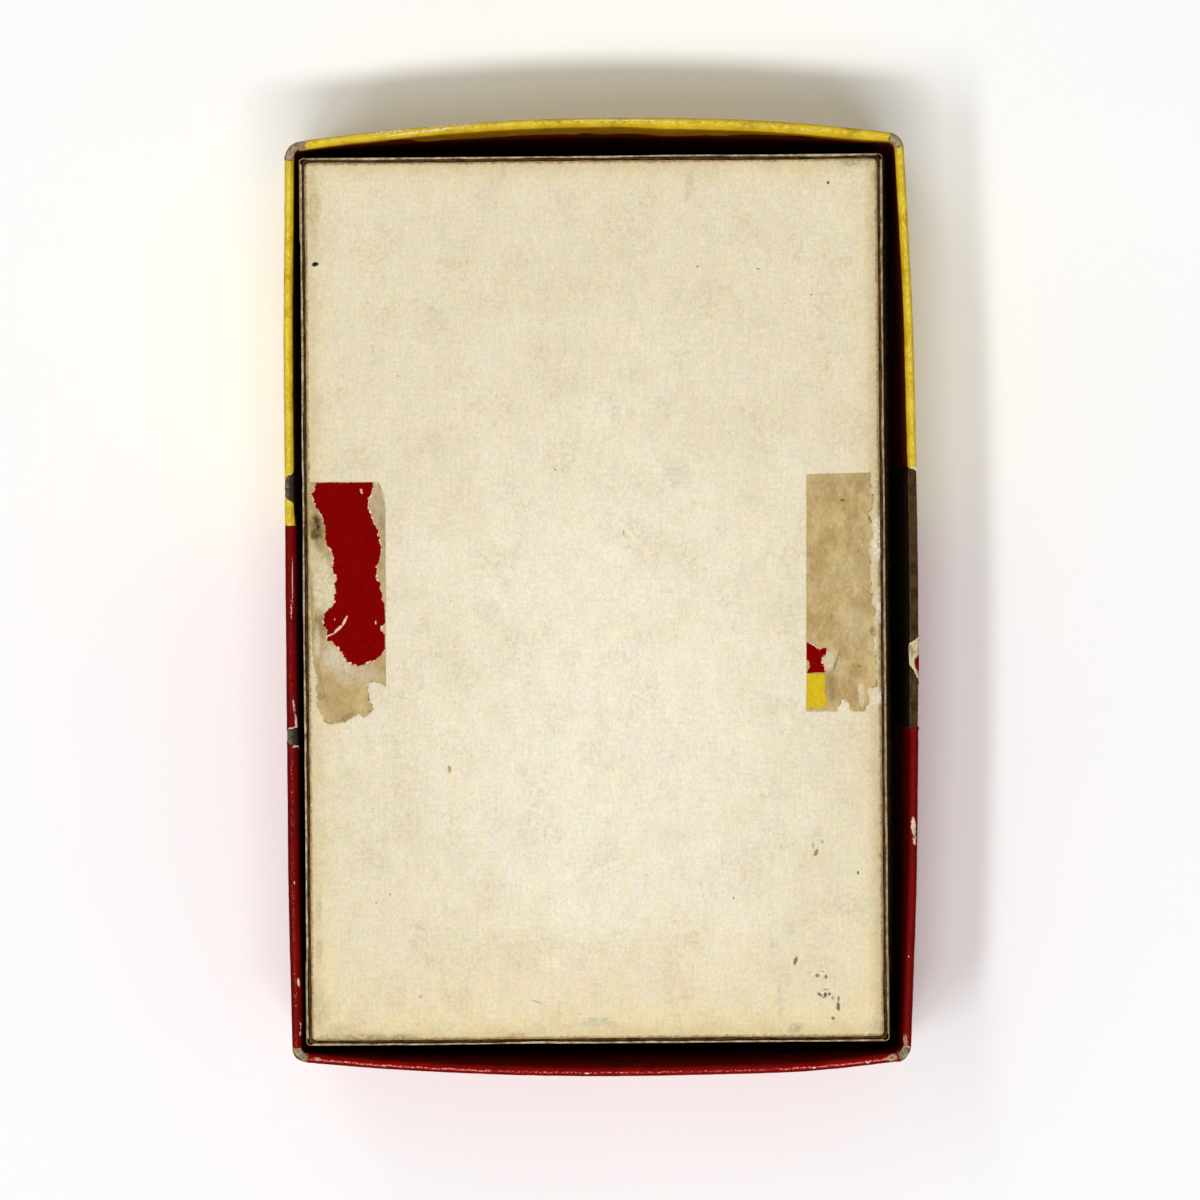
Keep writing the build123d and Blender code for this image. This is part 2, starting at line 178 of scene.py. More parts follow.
# Stains and skinned places of the seals' paper, and a few painted shadows beside lifted edges: centre, radii, turn,
# colour and strength
seal_stains_and_shadows = [
    (-29.5, 1.8, 1.2, 3.5, 4, "e4dabe", 1), (-30.3, 5.2, 0.6, 1.9, 0, "d6c8a8", 0.8),
    (-29.9, 9.6, 0.9, 2.4, 0, "a08e6a", 0.9), (-30.2, 7.8, 0.75, 1.45, 6, "6a5232", 1),
    (-30.1, 8.5, 0.34, 0.7, 10, "422a16", 1), (-30.3, 7.3, 0.45, 0.6, -20, "48321a", 0.9),
    (-29.8, 6.0, 0.6, 0.8, 30, "968054", 0.7), (-28.9, 5.0, 0.3, 1.2, 10, "b09c6e", 0.8),
    (-30.9, -0.6, 0.3, 2.6, 0, "967c46", 0.9), (-30.0, -2.6, 0.8, 1.5, -8, "7e6842", 0.9),
    (-30.2, -4.6, 0.35, 1.9, 0, "e2d6ba", 0.8), (-29.2, -5.4, 0.7, 1.2, 0, "b6a88a", 0.7),
    (-23.6, 10.2, 0.8, 2.6, 10, "b8ac90", 0.9), (-23.2, 8.4, 0.35, 0.9, 0, "967864", 0.7),
    (-23.2, 3.5, 0.5, 2.2, 0, "b2a07c", 0.7), (-28.0, -6.4, 1.7, 1.3, -35, "d8cebc", 0.9),
    (-25.8, -8.0, 2.4, 1.0, 8, "d0c0a8", 0.8), (-28.6, -10.4, 1.8, 2.4, 0, "c0ac78", 0.6),
    (-27.0, -12.4, 0.9, 0.35, 30, "807658", 0.7), (-29.8, -10.2, 0.5, 0.4, 0, "7e765a", 0.7),
    (-30.0, -7.6, 0.2, 1.6, 10, "8c7e5c", 0.6), (24.8, 6.4, 1.3, 1.1, 0, "a08242", 0.6),
    (26.4, 10.45, 0.27, 0.12, -5, "542c14", 1), (26.0, 2.2, 2.2, 2.0, 20, "d6c694", 0.5),
    (24.3, 9.0, 1.5, 1.2, 0, "cabc80", 0.4), (27.4, -3.4, 1.8, 2.2, 0, "cebe9c", 0.5),
    (25.0, 12.4, 3.0, 0.8, 0, "b0966a", 0.6), (28.4, 5.0, 0.9, 3.5, 0, "b29e74", 0.6),
    # The narrow dark streak at (25.55, -6.9), beside the pale lifted patch, is painted shadow.
    (24.9, -6.9, 0.7, 1.05, -10, "ded0ba", 1), (25.55, -6.9, 0.16, 1.2, -18, "746c4e", 0.9),
    (25.0, -9.6, 0.4, 1.7, 4, "8c7e58", 0.8), (28.2, -10.4, 0.3, 1.3, 6, "e2dac0", 0.8),
    # The dark spots near x 29.4 along the right seal's torn edge are painted shadow.
    (29.4, 8.7, 0.3, 0.6, 0, "645432", 0.9), (29.5, 3.6, 0.25, 0.5, 0, "6a5836", 0.9),
    (29.4, -3.6, 0.2, 0.5, 0, "74603a", 0.8), (28.0, -7.4, 0.14, 0.12, 0, "5a5032", 0.8),
]

# Outlines of the torn seals, x and y in turn, and how ragged each side is from its first corner on
seal_outlines = {
    "seal_left_paper": ([
        -31.13, 12.84, -23.87, 12.8, -23.39, 12.51, -22.97, 11.81, -22.9, 10.89, -22.8, 9.49, -22.89, -5.24,
        -22.91, -9.22, -23.3, -9.05, -24.05, -8.65, -24.7, -8.83, -24.87, -9.52, -24.77, -10.44, -24.4, -11.14,
        -24.08, -11.68, -24.78, -12.1, -25.16, -12.56, -25.85, -12.02, -26.4, -12.47, -26.96, -12.82, -27.67, -12.91,
        -28.93, -13.07, -29.65, -12.71, -29.99, -12.06, -30.1, -11.25, -30.33, -10.2, -30.42, -9.48, -30.24, -8.76,
        -30.41, -7.86, -30.6, -7.22, -30.75, -6.57, -30.75, -5.71
    ], [0, 0.5, 0.7, 0.5, 0.3, 0, 0] + [0.8] * 24 + [0.1]),
    "seal_left_print": ([
        -30.24, 12.8, -24.14, 12.76, -24.02, 12.24, -24.1, 11.52, -24.46, 10.99, -24.4, 10.01, -23.99, 9.1,
        -23.73, 8.03, -23.38, 6.95, -23.21, 6.05, -23.27, 5.33, -23.59, 4.09, -23.69, 3.02, -23.51, 1.94,
        -23.35, 1.03, -23.17, 0.46, -22.94, -0.13, -22.89, -2.2, -23.28, -2.63, -23.29, -3.17, -22.93, -3.49,
        -22.95, -5.06, -23.31, -5.5, -23.67, -5.95, -24.22, -6.39, -25.11, -6.65, -25.83, -6.91, -26.54, -6.82,
        -26.9, -6.46, -27.34, -5.92, -27.61, -5.47, -28.14, -4.93, -28.59, -4.38, -29.04, -4.29, -29.12, -3.84,
        -29.2, -3.12, -29.56, -2.41, -29.55, -1.51, -29.18, -0.88, -28.55, -0.44, -28.24, 0.54, -28.26, 2.15,
        -28.39, 3.41, -28.51, 4.84, -28.69, 5.56, -29.17, 5.92, -29.24, 7.0, -29.34, 8.26, -29.58, 9.15,
        -29.95, 9.52, -30.21, 10.06, -30.43, 10.69, -30.69, 11.14, -30.84, 11.68, -30.33, 12.11
    ], [0.25] + [0.75] * 15 + [0.1] + [0.75] * 3 + [0.1] + [0.75] * 34),
    "seal_right_paper": ([
        22.5, 13.24, 29.25, 13.33, 29.34, 12.36, 29.52, 11.0, 29.61, 10.03, 29.31, 9.08, 29.49, 7.33, 29.78, 6.94,
        29.38, 5.79, 29.37, 4.25, 29.35, 2.31, 29.44, 1.54, 29.52, -0.58, 29.81, -1.27, 29.78, -4.16, 29.86, -6.1,
        29.95, -7.64, 29.83, -9.57, 29.06, -9.76, 28.95, -11.1, 28.55, -12.26, 27.1, -12.25, 26.54, -11.28,
        26.16, -10.79, 25.76, -11.66, 25.47, -12.24, 22.29, -12.25
    ], [0.1] + [0.7] * 19 + [0.2] + [0.8] * 4 + [0.2, 0]),
    "seal_right_red": ([
        22.35, -4.78, 23.11, -4.98, 23.69, -5.31, 24.56, -5.47, 23.97, -6.63, 24.44, -7.98, 22.35, -8.12,
        22.52, -7.66, 22.62, -6.91, 22.36, -6.61
    ], [0.5, 0.5, 0.5, 0.8, 0.8, 0.05, 0.2, 0.4, 0.4, 0]),
    "seal_right_yellow": ([
        22.35, -8.2, 24.34, -8.17, 24.43, -9.33, 24.32, -10.11, 24.61, -11.07, 24.31, -11.81, 22.37, -11.82
    ], [0.05, 0.5, 0.5, 0.6, 0.6, 0.4, 0]),
}

# Small scratches in the seals' red print: centre, radii and turn
print_scratches = [
    (-28.75, -3.55, 0.55, 0.09, 20), (-27.95, -2.95, 0.6, 0.15, 42), (-27.25, -2.1, 0.65, 0.13, 62),
    (-25.3, 11.75, 0.12, 0.22, 20), (-25.35, 12.0, 0.14, 0.1, 0), (-26.6, -6.6, 0.08, 0.12, 0),
    (-28.3, -1.9, 0.05, 0.12, 0), (-23.9, -2.3, 0.08, 0.2, 0),
]


def lattice(ix, iy, seed):
    """A repeatable random number from 0 to 1 for each lattice point."""
    h = (ix.astype(np.int64) * 374761393 + iy.astype(np.int64) * 668265263 + seed * 974634777) & 0xFFFFFFFF
    h = ((h ^ (h >> 13)) * 1274126177) & 0xFFFFFFFF
    return ((h ^ (h >> 16)) & 0xFFFF) / 65535.0


def noise(x, y, size, seed):
    """Smooth noise from -1 to 1 with features of about the given size."""
    x = np.asarray(x, float) / size
    y = np.asarray(y, float) / size
    ix, iy = np.floor(x), np.floor(y)
    fx, fy = (f * f * (3 - 2 * f) for f in (x - ix, y - iy))
    a, b, c, d = (lattice(ix + i, iy + j, seed) for j in (0, 1) for i in (0, 1))
    return 2 * ((a * (1 - fx) + b * fx) * (1 - fy) + (c * (1 - fx) + d * fx) * fy) - 1


def rough(x, y, size, seed):
    """Noise summed over finer and finer features."""
    octaves = 4
    return sum(noise(x, y, size / 2 ** n, seed + n) / 2 ** n for n in range(octaves)) / 1.6


def smooth(low, high, value):
    """Rises smoothly from 0 at low to 1 at high."""
    t = np.clip((value - low) / (high - low), 0, 1)
    return t * t * (3 - 2 * t)


# Meshes


def new_piece(name, points, faces, material, body, attributes=None):
    """A mesh object from points in millimetres, riding on a body."""
    mesh = bpy.data.meshes.new(name)
    mesh.from_pydata((np.asarray(points) * MM).tolist(), [], faces)
    mesh.validate()
    shell = bmesh.new()
    shell.from_mesh(mesh)
    if shell.calc_volume(signed=True) < 0:
        mesh.flip_normals()
    shell.free()
    for key, values in (attributes or {}).items():
        layer = mesh.attributes.new(key, "FLOAT", "POINT")
        layer.data.foreach_set("value", np.asarray(values, np.float32).ravel())
    mesh.polygons.foreach_set("use_smooth", [True] * len(mesh.polygons))
    mesh.set_sharp_from_angle(angle=math.radians(SHARP_ANGLE))
    mesh.materials.append(material)
    mesh.update()
    piece = bpy.data.objects.new(name, mesh)
    bpy.context.scene.collection.objects.link(piece)
    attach(piece, body)
    return piece


def grid_faces(rows, columns, closed=False):
    """Quads of a grid whose points are numbered row by row, as an array of four corners."""
    r, c = np.meshgrid(np.arange(rows - 1), np.arange(columns if closed else columns - 1), indexing="ij")
    n = (c + 1) % columns
    quads = np.stack([r * columns + c, r * columns + n, (r + 1) * columns + n, (r + 1) * columns + c], -1)
    return quads.reshape(-1, 4)


def tube_faces(rows, columns):
    """Quads of a grid closed into a tube, and its two caps."""
    first = list(range(columns - 1, -1, -1))
    last = list(range((rows - 1) * columns, rows * columns))
    return grid_faces(rows, columns, closed=True).tolist() + [first, last]


def rim_edges(faces):
    """Edges that belong to one face only, in the direction that the face runs them."""
    seen = {}
    for face in faces.tolist():
        for a, b in zip(face, face[1:] + face[:1]):
            if (b, a) in seen:
                del seen[(b, a)]
            else:
                seen[(a, b)] = True
    return list(seen)


def thick(front, back, faces):
    """A closed sheet between two surfaces of one grid: its points, its faces and the grid points that it keeps."""
    used = np.unique(faces)
    count = len(used)
    faces = np.searchsorted(used, faces)
    walls = [(b, a, a + count, b + count) for a, b in rim_edges(faces)]
    return np.vstack([front[used], back[used]]), np.vstack([faces, faces[:, ::-1] + count, walls]).tolist(), used


def on_both_sides(values, used):
    """Attributes of a thick sheet from values on its grid, the same on its front and its back."""
    return {key: np.tile(value.ravel()[used], 2) for key, value in values.items()}


def cut_grid(first, second, distance_at, reach):
    """Keeps a grid's faces where a distance is positive, and moves its cut edge onto the line where it is zero."""
    distance = distance_at(first, second)
    faces = grid_faces(*first.shape)
    kept = faces[distance.ravel()[faces].mean(1) > 0]
    slope1 = np.gradient(distance, axis=1) / np.maximum(np.gradient(first, axis=1), TINY)
    rise = np.gradient(second, axis=0)
    slope2 = np.gradient(distance, axis=0) / np.where(np.abs(rise) < TINY, TINY, rise)
    edge = np.unique(rim_edges(kept))
    g1, g2 = slope1.ravel()[edge], slope2.ravel()[edge]
    least_slope = 0.5
    size = np.maximum(g1 * g1 + g2 * g2, least_slope ** 2)
    moved = []
    for places, slope in ((first, g1), (second, g2)):
        places = places.copy()
        places.ravel()[edge] += np.clip(-distance.ravel()[edge] * slope / size, -reach, reach)
        moved.append(places)
    return *moved, kept


# Materials


def srgb(code):
    """A colour from its hex code on the screen to the linear values that shaders take."""
    values = [v / 255 for v in bytes.fromhex(code)]
    return tuple(v / 12.92 if v <= 0.04045 else ((v + 0.055) / 1.055) ** 2.4 for v in values)


class Value:
    """A node's output that takes part in sums."""

    __array_ufunc__ = None

    def __init__(self, graph, socket):
        self.graph = graph
        self.socket = socket

    def __add__(self, other):
        return self.graph.math("ADD", self, other)

    def __sub__(self, other):
        return self.graph.math("SUBTRACT", self, other)

    def __rsub__(self, other):
        return self.graph.math("SUBTRACT", other, self)

    def __mul__(self, other):
        return self.graph.math("MULTIPLY", self, other)

    def __truediv__(self, other):
        return self.graph.math("DIVIDE", self, other)

    def __abs__(self):
        return self.graph.math("ABSOLUTE", self)

    def times(self, factor, plus):
        """The value times a factor, plus another value."""
        return self.graph.math("MULTIPLY_ADD", self, factor, plus)

    def step(self, low, high, out_low=0.0, out_high=1.0):
        """The value rescaled smoothly from low..high to out_low..out_high."""
        return self.graph.value("MapRange", self, low, high, out_low, out_high, interpolation_type="SMOOTHSTEP")

    def near(self, middle, inner, outer):
        """1 within inner of a middle value, falling to 0 at outer."""
        return abs(self - middle).step(outer, inner)


class Graph:
    """Short calls for building shader nodes."""

    def __init__(self, tree):
        self.tree = tree

    def put(self, value, socket):
        """A number, a vector, a colour or a node's output into a socket."""
        if isinstance(value, Value):
            self.tree.links.new(value.socket, socket)
            return
        if isinstance(value, str):
            value = srgb(value)
        colour = isinstance(value, tuple) and len(socket.default_value) == 4
        socket.default_value = (*value, 1) if colour else value

    def node(self, kind, *inputs, **settings):
        """A new node with its settings and first inputs."""
        node = self.tree.nodes.new("ShaderNode" + kind)
        for name, setting in settings.items():
            setattr(node, name, setting)
        for value, socket in zip(inputs, node.inputs):
            if value is not None:
                self.put(value, socket)
        return node

    def value(self, kind, *inputs, output=0, **settings):
        """An output of a new node."""
        return Value(self, self.node(kind, *inputs, **settings).outputs[output])

    def math(self, operation, *values):
        return self.value("Math", *values, operation=operation)

    def vector(self, operation, first, second=None, scale=None):
        output = "Value" if operation == "LENGTH" else "Vector"
        return self.value("VectorMath", first, second, None, scale, output=output, operation=operation)

    def most(self, *values):
        """Largest of several values."""
        return functools.reduce(functools.partial(self.math, "MAXIMUM"), values)

    def least(self, *values):
        """Smallest of several values."""
        return functools.reduce(functools.partial(self.math, "MINIMUM"), values)

    def mix(self, first, second, share):
        """One colour turning into another by a share."""
        other_types = [None] * 5
        return self.value("Mix", share, *other_types, first, second, output=2, data_type="RGBA")


class Material(Graph):
    """A material whose colour is built up coat by coat. Places are in millimetres in the object's frame."""

    def __init__(self, name, roughness, specular):
        self.material = bpy.data.materials.new(name)
        self.material.use_nodes = True
        super().__init__(self.material.node_tree)
        self.shader = self.tree.nodes["Principled BSDF"]
        self.shader.inputs["Roughness"].default_value = roughness
        self.shader.inputs["Specular IOR Level"].default_value = specular
        self.place = self.vector("SCALE", self.value("TexCoord", output="Object"), scale=1 / MM)
        self.flat = self.vector("MULTIPLY", self.place, (1, 1, 0))
        self.x, self.y, self.z = (Value(self, part) for part in self.node("SeparateXYZ", self.place).outputs)
        self.grains = {}

    def noise(self, size, detail=3, roughness=0.55, stretch=(1, 1, 1), shift=0, at=None):
        """Noise from 0 to 1 with features of about the given size, drawn out along an axis by stretch."""
        drawn = self.vector("MULTIPLY", at or self.place, tuple(1 / s for s in stretch))
        moved = self.vector("ADD", drawn, (shift, shift * 0.7, shift * 1.3))
        return self.value("TexNoise", moved, None, 1 / size, detail, roughness)

    def attribute(self, name):
        return self.value("Attribute", output="Fac", attribute_name=name)

    def joined(self, first, second):
        """Two values as one place."""
        return self.value("CombineXYZ", first, second)

    def inside(self, x, half_width, half_length):
        """Distance inside a rectangle about the middle."""
        return self.least(half_width - abs(x), half_length - abs(self.y))

    def spot(self, centre, radii, turn, ragged=0.5, soft=0.3, at=None):
        """A mark: 1 inside a ragged ellipse about a place, turned by some degrees, falling to 0 outside it."""
        rotation = (0, 0, math.radians(turn))
        placed = self.value("Mapping", at or self.flat, (*centre, 0), rotation, (*radii, 1), vector_type="TEXTURE")
        thin = min(radii)
        size = 0.13 if thin < 0.2 else 0.25 if thin < 0.4 else 0.8
        if size not in self.grains:
            self.grains[size] = self.noise(size, 4, 0.65, shift=5)
        away = self.grains[size].times(2 * ragged, self.vector("LENGTH", placed))
        return away.step(1 + ragged + soft, 1 + ragged - soft)

    def coat(self, tint, share):
        """Covers a share of the colour with another one."""
        self.colour = self.mix(self.colour, tint, share)

    def shade(self, value, amount):
        """Makes the colour lighter or darker by a noise value about its middle of 0.5."""
        self.colour = self.vector("SCALE", self.colour, scale=value.times(amount, 1 - amount / 2))

    def tint(self, factors):
        """Multiplies the colour's red, green and blue."""
        self.colour = self.vector("MULTIPLY", self.colour, factors)

    def bump(self, height, distance):
        """Relief from a height of 0 to 1, with its real depth in millimetres."""
        node = self.node("Bump")
        for name, value in (("Strength", 1.0), ("Distance", distance * MM), ("Height", height)):
            self.put(value, node.inputs[name])
        self.tree.links.new(node.outputs[0], self.shader.inputs["Normal"])

    def finish(self):
        self.put(self.colour, self.shader.inputs["Base Color"])
        return self.material


# The lid's old inks: dark and light of the broad mottling, colour of the fine mottling and where it is at its full
yellow_ink = ("be940c", "d6b628", "ac961e", 0.72)
red_ink = ("700402", "860905", "620504", 0.75)


def ink(m, dark, light, fine, full):
    """Old print with broad and fine mottling."""
    colour = m.mix(dark, light, m.noise(2.4, 4).step(0.3, 0.7))
    return m.mix(colour, fine, m.noise(0.4, 4, 0.7).step(0.5, full, 0, 0.5))


def on_yellow(m):
    """1 above the line between the lid's two grounds and 0 below it."""
    return m.noise(1.5, 3).times(0.3, m.y).step(print_line_y + 0.1, print_line_y + 0.2)


def wrap_material():
    """Printed paper of the lid's walls, worn to its pale core along the rim and at tears, with a painted highlight
    along the rim's crest and painted shade on its shoulders and down the inside.
    """
    m = Material("printed_wrap", 0.36, 0.03)
    over = m.attribute("over")
    rim_place = m.joined(m.attribute("along"), over)
    is_yellow = on_yellow(m)
    on_wall = over.step(-0.6, -3.0)
    yellow = m.mix(ink(m, *yellow_ink), "e2be1e", on_wall * 0.6)
    yellow = m.vector("MULTIPLY", yellow, (1.11, 1.13, 1.15))
    red = m.mix(ink(m, *red_ink), "b00a07", on_wall * 0.85)
    on_side = over.step(-0.9, -0.2) * over.step(5.0, 3.0) * m.y.step(-half_y + 1.5, -half_y + 4.0)
    red = m.mix(red, "540202", on_side * 0.6)
    # Light dashes along the rim's crest, yellow and red: painted highlight.
    dash = m.noise(0.20, 4, 0.7, stretch=(3.2, 1, 1), at=rim_place)
    crest = over.near(0.72, 0.05, 0.30)
    yellow = m.mix(yellow, "f0de64", crest * dash.step(0.42, 0.60, 0, 0.8))
    red = m.mix(red, "8e0c08", crest * dash.step(0.42, 0.60, 0, 0.55))
    m.colour = m.mix(red, yellow, is_yellow)
    dirt = m.noise(3.5, 6, 0.7, shift=3).step(0.50, 0.72, 0, 0.4)
    m.coat(m.mix("460503", "4a3208", is_yellow), dirt * over.step(-0.8, 0, 0.4, 1))
    # Darker over the rim's outer shoulder and the top of the outer wall, and down the inner side: painted shade.
    edge = over.step(0.45, 0.1, 0, 0.3) + over.step(1.35, 1.6, 0, 0.2)
    m.coat(m.mix("320302", "3c2204", is_yellow), edge * over.step(-0.9, -0.1))
    fibres = m.noise(0.22, 4, 0.75)
    width = m.noise(0.8, 3, shift=6).step(0.44, 0.64, -0.10, 0.34)
    frayed = (fibres.times(0.34, m.attribute("torn")) - width).step(0.22, 0.10) * over.step(1.75, 1.35)
    ridge = m.noise(1.1, 3, shift=21, at=rim_place).times(0.30, over).near(0.86, 0.025, 0.095)
    dots = m.noise(0.12, 3, 0.8, stretch=(2.2, 1, 1), shift=17, at=rim_place)
    likely = m.attribute("rubbed").times(0.24, dots)
    m.coat(m.mix("fa9282", "f2e280", is_yellow), ridge * likely.step(0.70, 0.78))
    bare = m.most(frayed, ridge * likely.step(0.86, 0.90))
    gap = m.noise(0.16, 3, 0.7, stretch=(2.5, 1, 1), shift=14, at=rim_place).step(0.44, 0.52)
    for side, place, t, rx, ry, turn, broken in wrap_marks:
        mark = m.spot((s_at(side, place), t), (rx, ry), turn, 0.8, 0.2, rim_place)
        bare = m.most(bare, mark * gap if broken else mark)
    core = m.mix("ecc6b2", "f0e8ce", is_yellow)
    core = m.mix(core, "c4a486", m.noise(0.4, 3, shift=2).step(0.46, 0.7))
    tan = m.mix("967c58", "c4b090", fibres.step(0.38, 0.66))
    m.coat(m.mix(core, tan, m.attribute("cornered") * 0.85), bare)
    # Painted shade on the inner face of the walls: orange-brown just inside the yellow rim, then dark red-brown below a
    # wavy line, which is lower on the top wall.
    m.coat("965008", over.step(1.5, 2.4, 0, 0.55) * is_yellow)
    lowest = m.noise(3.6, 4, 0.6, shift=12).times(3.4, over)
    lowest = lowest + m.x.step(-18.0, -20.5, 0, 2.9) + m.x.step(12.0, 20.0, 0, 2.2)
    at_side = m.noise(2.6, 4, 0.6, shift=12).times(1.1, over).step(1.95, 2.25) * is_yellow
    shade = m.mix(at_side, lowest.step(7.0, 7.3), m.y.step(half_y - 3.0, half_y - 1.0))
    m.coat("580c03", shade * 0.95)
    m.bump(m.noise(0.16, 3, 0.7, shift=1).times(0.45, m.noise(0.7, 4, 0.6, shift=7)), 0.035)
    return m.finish()


def board_material(name, dark, light, pale, contrast=1.0):
    """Bare chipboard: recycled fibre with pale and dark flecks."""
    m = Material(name, 0.9, 0.04)
    m.colour = m.mix(dark, light, m.noise(1.2, 5, 0.7).step(0.35, 0.65))
    fibre = m.noise(0.3, 4, 0.7, stretch=(1, 3, 1), shift=4)
    m.coat(pale, fibre.step(0.55, 0.8, 0, 0.6 * contrast))
    m.coat(pale, m.noise(0.16, 2, shift=11).step(0.64, 0.74, 0, 0.6 * contrast))
    m.bump(fibre + m.noise(0.12, 3, 0.7, shift=6), 0.07 * contrast ** 2)
    return m


def lid_board_material():
    """The lid's chipboard: grey along its rim's edges and in the small tears, where the inner half of the rim carries
    painted shade, and frayed and pale at bare corners.
    """
    m = board_material("lid_chipboard", "362412", "503c22", "746246")
    over = m.attribute("over")
    in_tear = m.attribute("grey")
    grit = m.noise(0.3, 4, 0.7, shift=8)
    edge = (m.attribute("ply") + grit).step(1.0, 1.4, 0, 0.8)
    stone = m.mix("4a4636", "807a62", m.noise(0.6, 5, 0.75, shift=18).step(0.36, 0.62))
    m.coat(stone, m.most(edge, in_tear * grit.step(0.25, 0.5, 0.55, 0.95)))
    # The torn grey board darker over the inner half of the rim: painted shade.
    m.coat("242016", in_tear * over.step(0.50, 0.95, 0, 0.85))
    tone = m.noise(0.55, 5, 0.8, shift=2).step(0.36, 0.64)
    frayed = m.noise(0.7, 5, 0.75).times(1.1, m.attribute("corner")).step(0.95, 1.25)
    m.coat(m.mix("68543a", "baa686", tone), frayed)
    bare_side = m.y.near(0, 13.6, 15.0) * m.x.step(20, 25)
    inside = m.mix("5c1009", "281a0c", bare_side)
    inside = m.mix(inside, m.mix("5c462c", "7e6646", tone), m.z.step(2.4, 1.2))
    m.coat(inside, over.step(1.5, 1.9))
    return m.finish()


def tray_board_material():
    """The tray's chipboard, dark in the scored fold as painted shade, and paler inside."""
    m = board_material("tray_chipboard", "36220c", "604624", "967a50", 0.55)
    # The paler coat below the top is the board's own colour; the dark one left along the top is painted shade.
    pale = m.mix("967e5c", "b09874", m.noise(3.0, 4, shift=5).step(0.3, 0.7))
    m.coat(pale, m.z.step(tray_top - 0.6, tray_top - 1.2))
    return m.finish()


def kraft_material():
    """Brown gummed paper of the corner stays."""
    m = Material("kraft_paper", 0.8, 0.2)
    m.colour = m.mix("96764a", "b6986a", m.noise(1.2, 4).step(0.3, 0.7))
    m.coat("705430", m.noise(0.3, 3, stretch=(1, 1, 4)).step(0.6, 0.8, 0, 0.5))
    m.bump(m.noise(0.2, 4, 0.7), 0.02)
    return m.finish()


def cream_material():
    """Aged cream lining of the tray's bottom: woven grain, soiled edges, and a yellower lower end."""
    m = Material("cream_lining", 0.8, 0.06)
    away = m.vector("LENGTH", m.vector("MULTIPLY", m.vector("ADD", m.flat, (-1, 14, 0)), (1 / 34, 1 / 54, 0)))
    m.colour = m.mix("f3ead2", "e7dbbe", m.noise(8, 4, 0.6).times(0.9, away).step(0.55, 1.45))
    m.coat("ebdbb6", m.noise(7, 5, 0.65, shift=7).times(16, m.y).step(-22, -38, 0, 0.8))
    threads = m.noise(0.17, 2, stretch=(1, 14, 1), shift=1) + m.noise(0.17, 2, stretch=(12, 1, 1), shift=2)
    grain = m.noise(0.30, 4, 0.8, stretch=(1, 1.5, 1), shift=5)
    m.shade(threads * 0.5, 0.27)
    m.shade(grain, 0.56)
    m.shade(m.noise(1.6, 4, 0.7, stretch=(1, 2.2, 1), shift=29), 0.15)
    m.shade(m.noise(0.55, 3, 0.7, stretch=(1, 3.5, 1), shift=35), 0.17)
    hue = m.noise(0.95, 5, 0.8, stretch=(1, 1.5, 1), shift=9).step(0.3, 0.7)
    blues = grain.times(0.5, m.noise(0.9, 4, 0.8, shift=33)).step(0.55, 0.95)
    m.tint(m.vector("MULTIPLY", m.mix((1.042, 0.976, 0.998), (0.960, 1.022, 0.985), hue),
                    m.mix((1, 1, 0.91), (1, 1, 1.085), blues)))
    grit = m.noise(0.5, 6, 0.8, shift=15)
    smudge = m.noise(4.2, 5, 0.65, stretch=(1, 1.3, 1), shift=3)
    m.coat("baa070", smudge.step(0.45, 0.66) * grit.step(0.40, 0.70) * 0.42)
    m.coat("b0986c", m.noise(0.34, 4, 0.8, stretch=(1, 2.4, 1), shift=41).step(0.62, 0.80, 0, 0.75))
    m.coat("887046", m.noise(0.22, 1, shift=13).step(0.775, 0.80, 0, 0.55))
    from_right = panel_high[0] - m.x
    margin = m.least(m.x - panel_low[0], from_right, m.least(m.y - panel_low[1], panel_high[1] - m.y))
    wander = m.noise(1.6, 5, 0.7, shift=17)
    m.coat("ceb686", wander.times(-3.4, margin).step(0.4, -1.6, 0, 0.45) * m.x.step(29, 27, 0.4, 1))
    m.coat("baa47a", wander.times(1.6, from_right).step(2.6, 1.0) * grit.step(0.2, 0.6, 0.12, 0.55))
    m.tint(m.mix((1, 1, 1), (1, 0.985, 0.91), margin.step(4.5, 1.2)))
    rust = m.mix("705834", "a07642", m.noise(1.1, 3, shift=23).step(0.45, 0.6))
    m.coat(rust, m.noise(0.45, 5, 0.75, shift=19).times(-0.9, margin).step(-0.08, -0.40, 0, 0.75))
    broken = m.noise(0.4, 6, 0.85, shift=27).step(0.36, 0.62)
    for key, (tint, _) in panel_stains.items():
        m.coat(tint, m.attribute(key) * broken)
    for x, y, rx, ry, turn, tint, share in panel_specks:
        m.coat(tint, m.spot((x, y), (rx, ry), turn) * share)
    m.bump(threads.times(0.6, grain), 0.02)
    return m.finish()


def pale_ply_material():
    """Pale top ply of the tray's walls, seen on its cut edge, with painted shade on the right wall."""
    m = Material("pale_ply", 0.75, 0.05)
    m.colour = m.mix("967e5a", "cebea0", m.noise(0.9, 5, 0.7).step(0.36, 0.64))
    m.coat("644c2a", m.noise(1.8, 4, 0.7, shift=6).step(0.50, 0.70, 0, 0.85))
    # Darker towards the right wall: painted shade.
    m.coat("785e38", m.x.step(28, 30, 0, 0.35))
    even = m.mix("a08964", "baa580", m.noise(5.0, 5, 0.6, shift=9).step(0.36, 0.64))
    even = m.mix(even, "7a6240", m.noise(0.35, 5, 0.75, stretch=(1, 1, 3), shift=15).step(0.55, 0.75, 0, 0.5))
    m.coat(even, m.z.step(tray_top - 0.5, tray_top - 1.6, 0, 0.85))
    m.bump(m.noise(0.2, 3), 0.03)
    return m.finish()


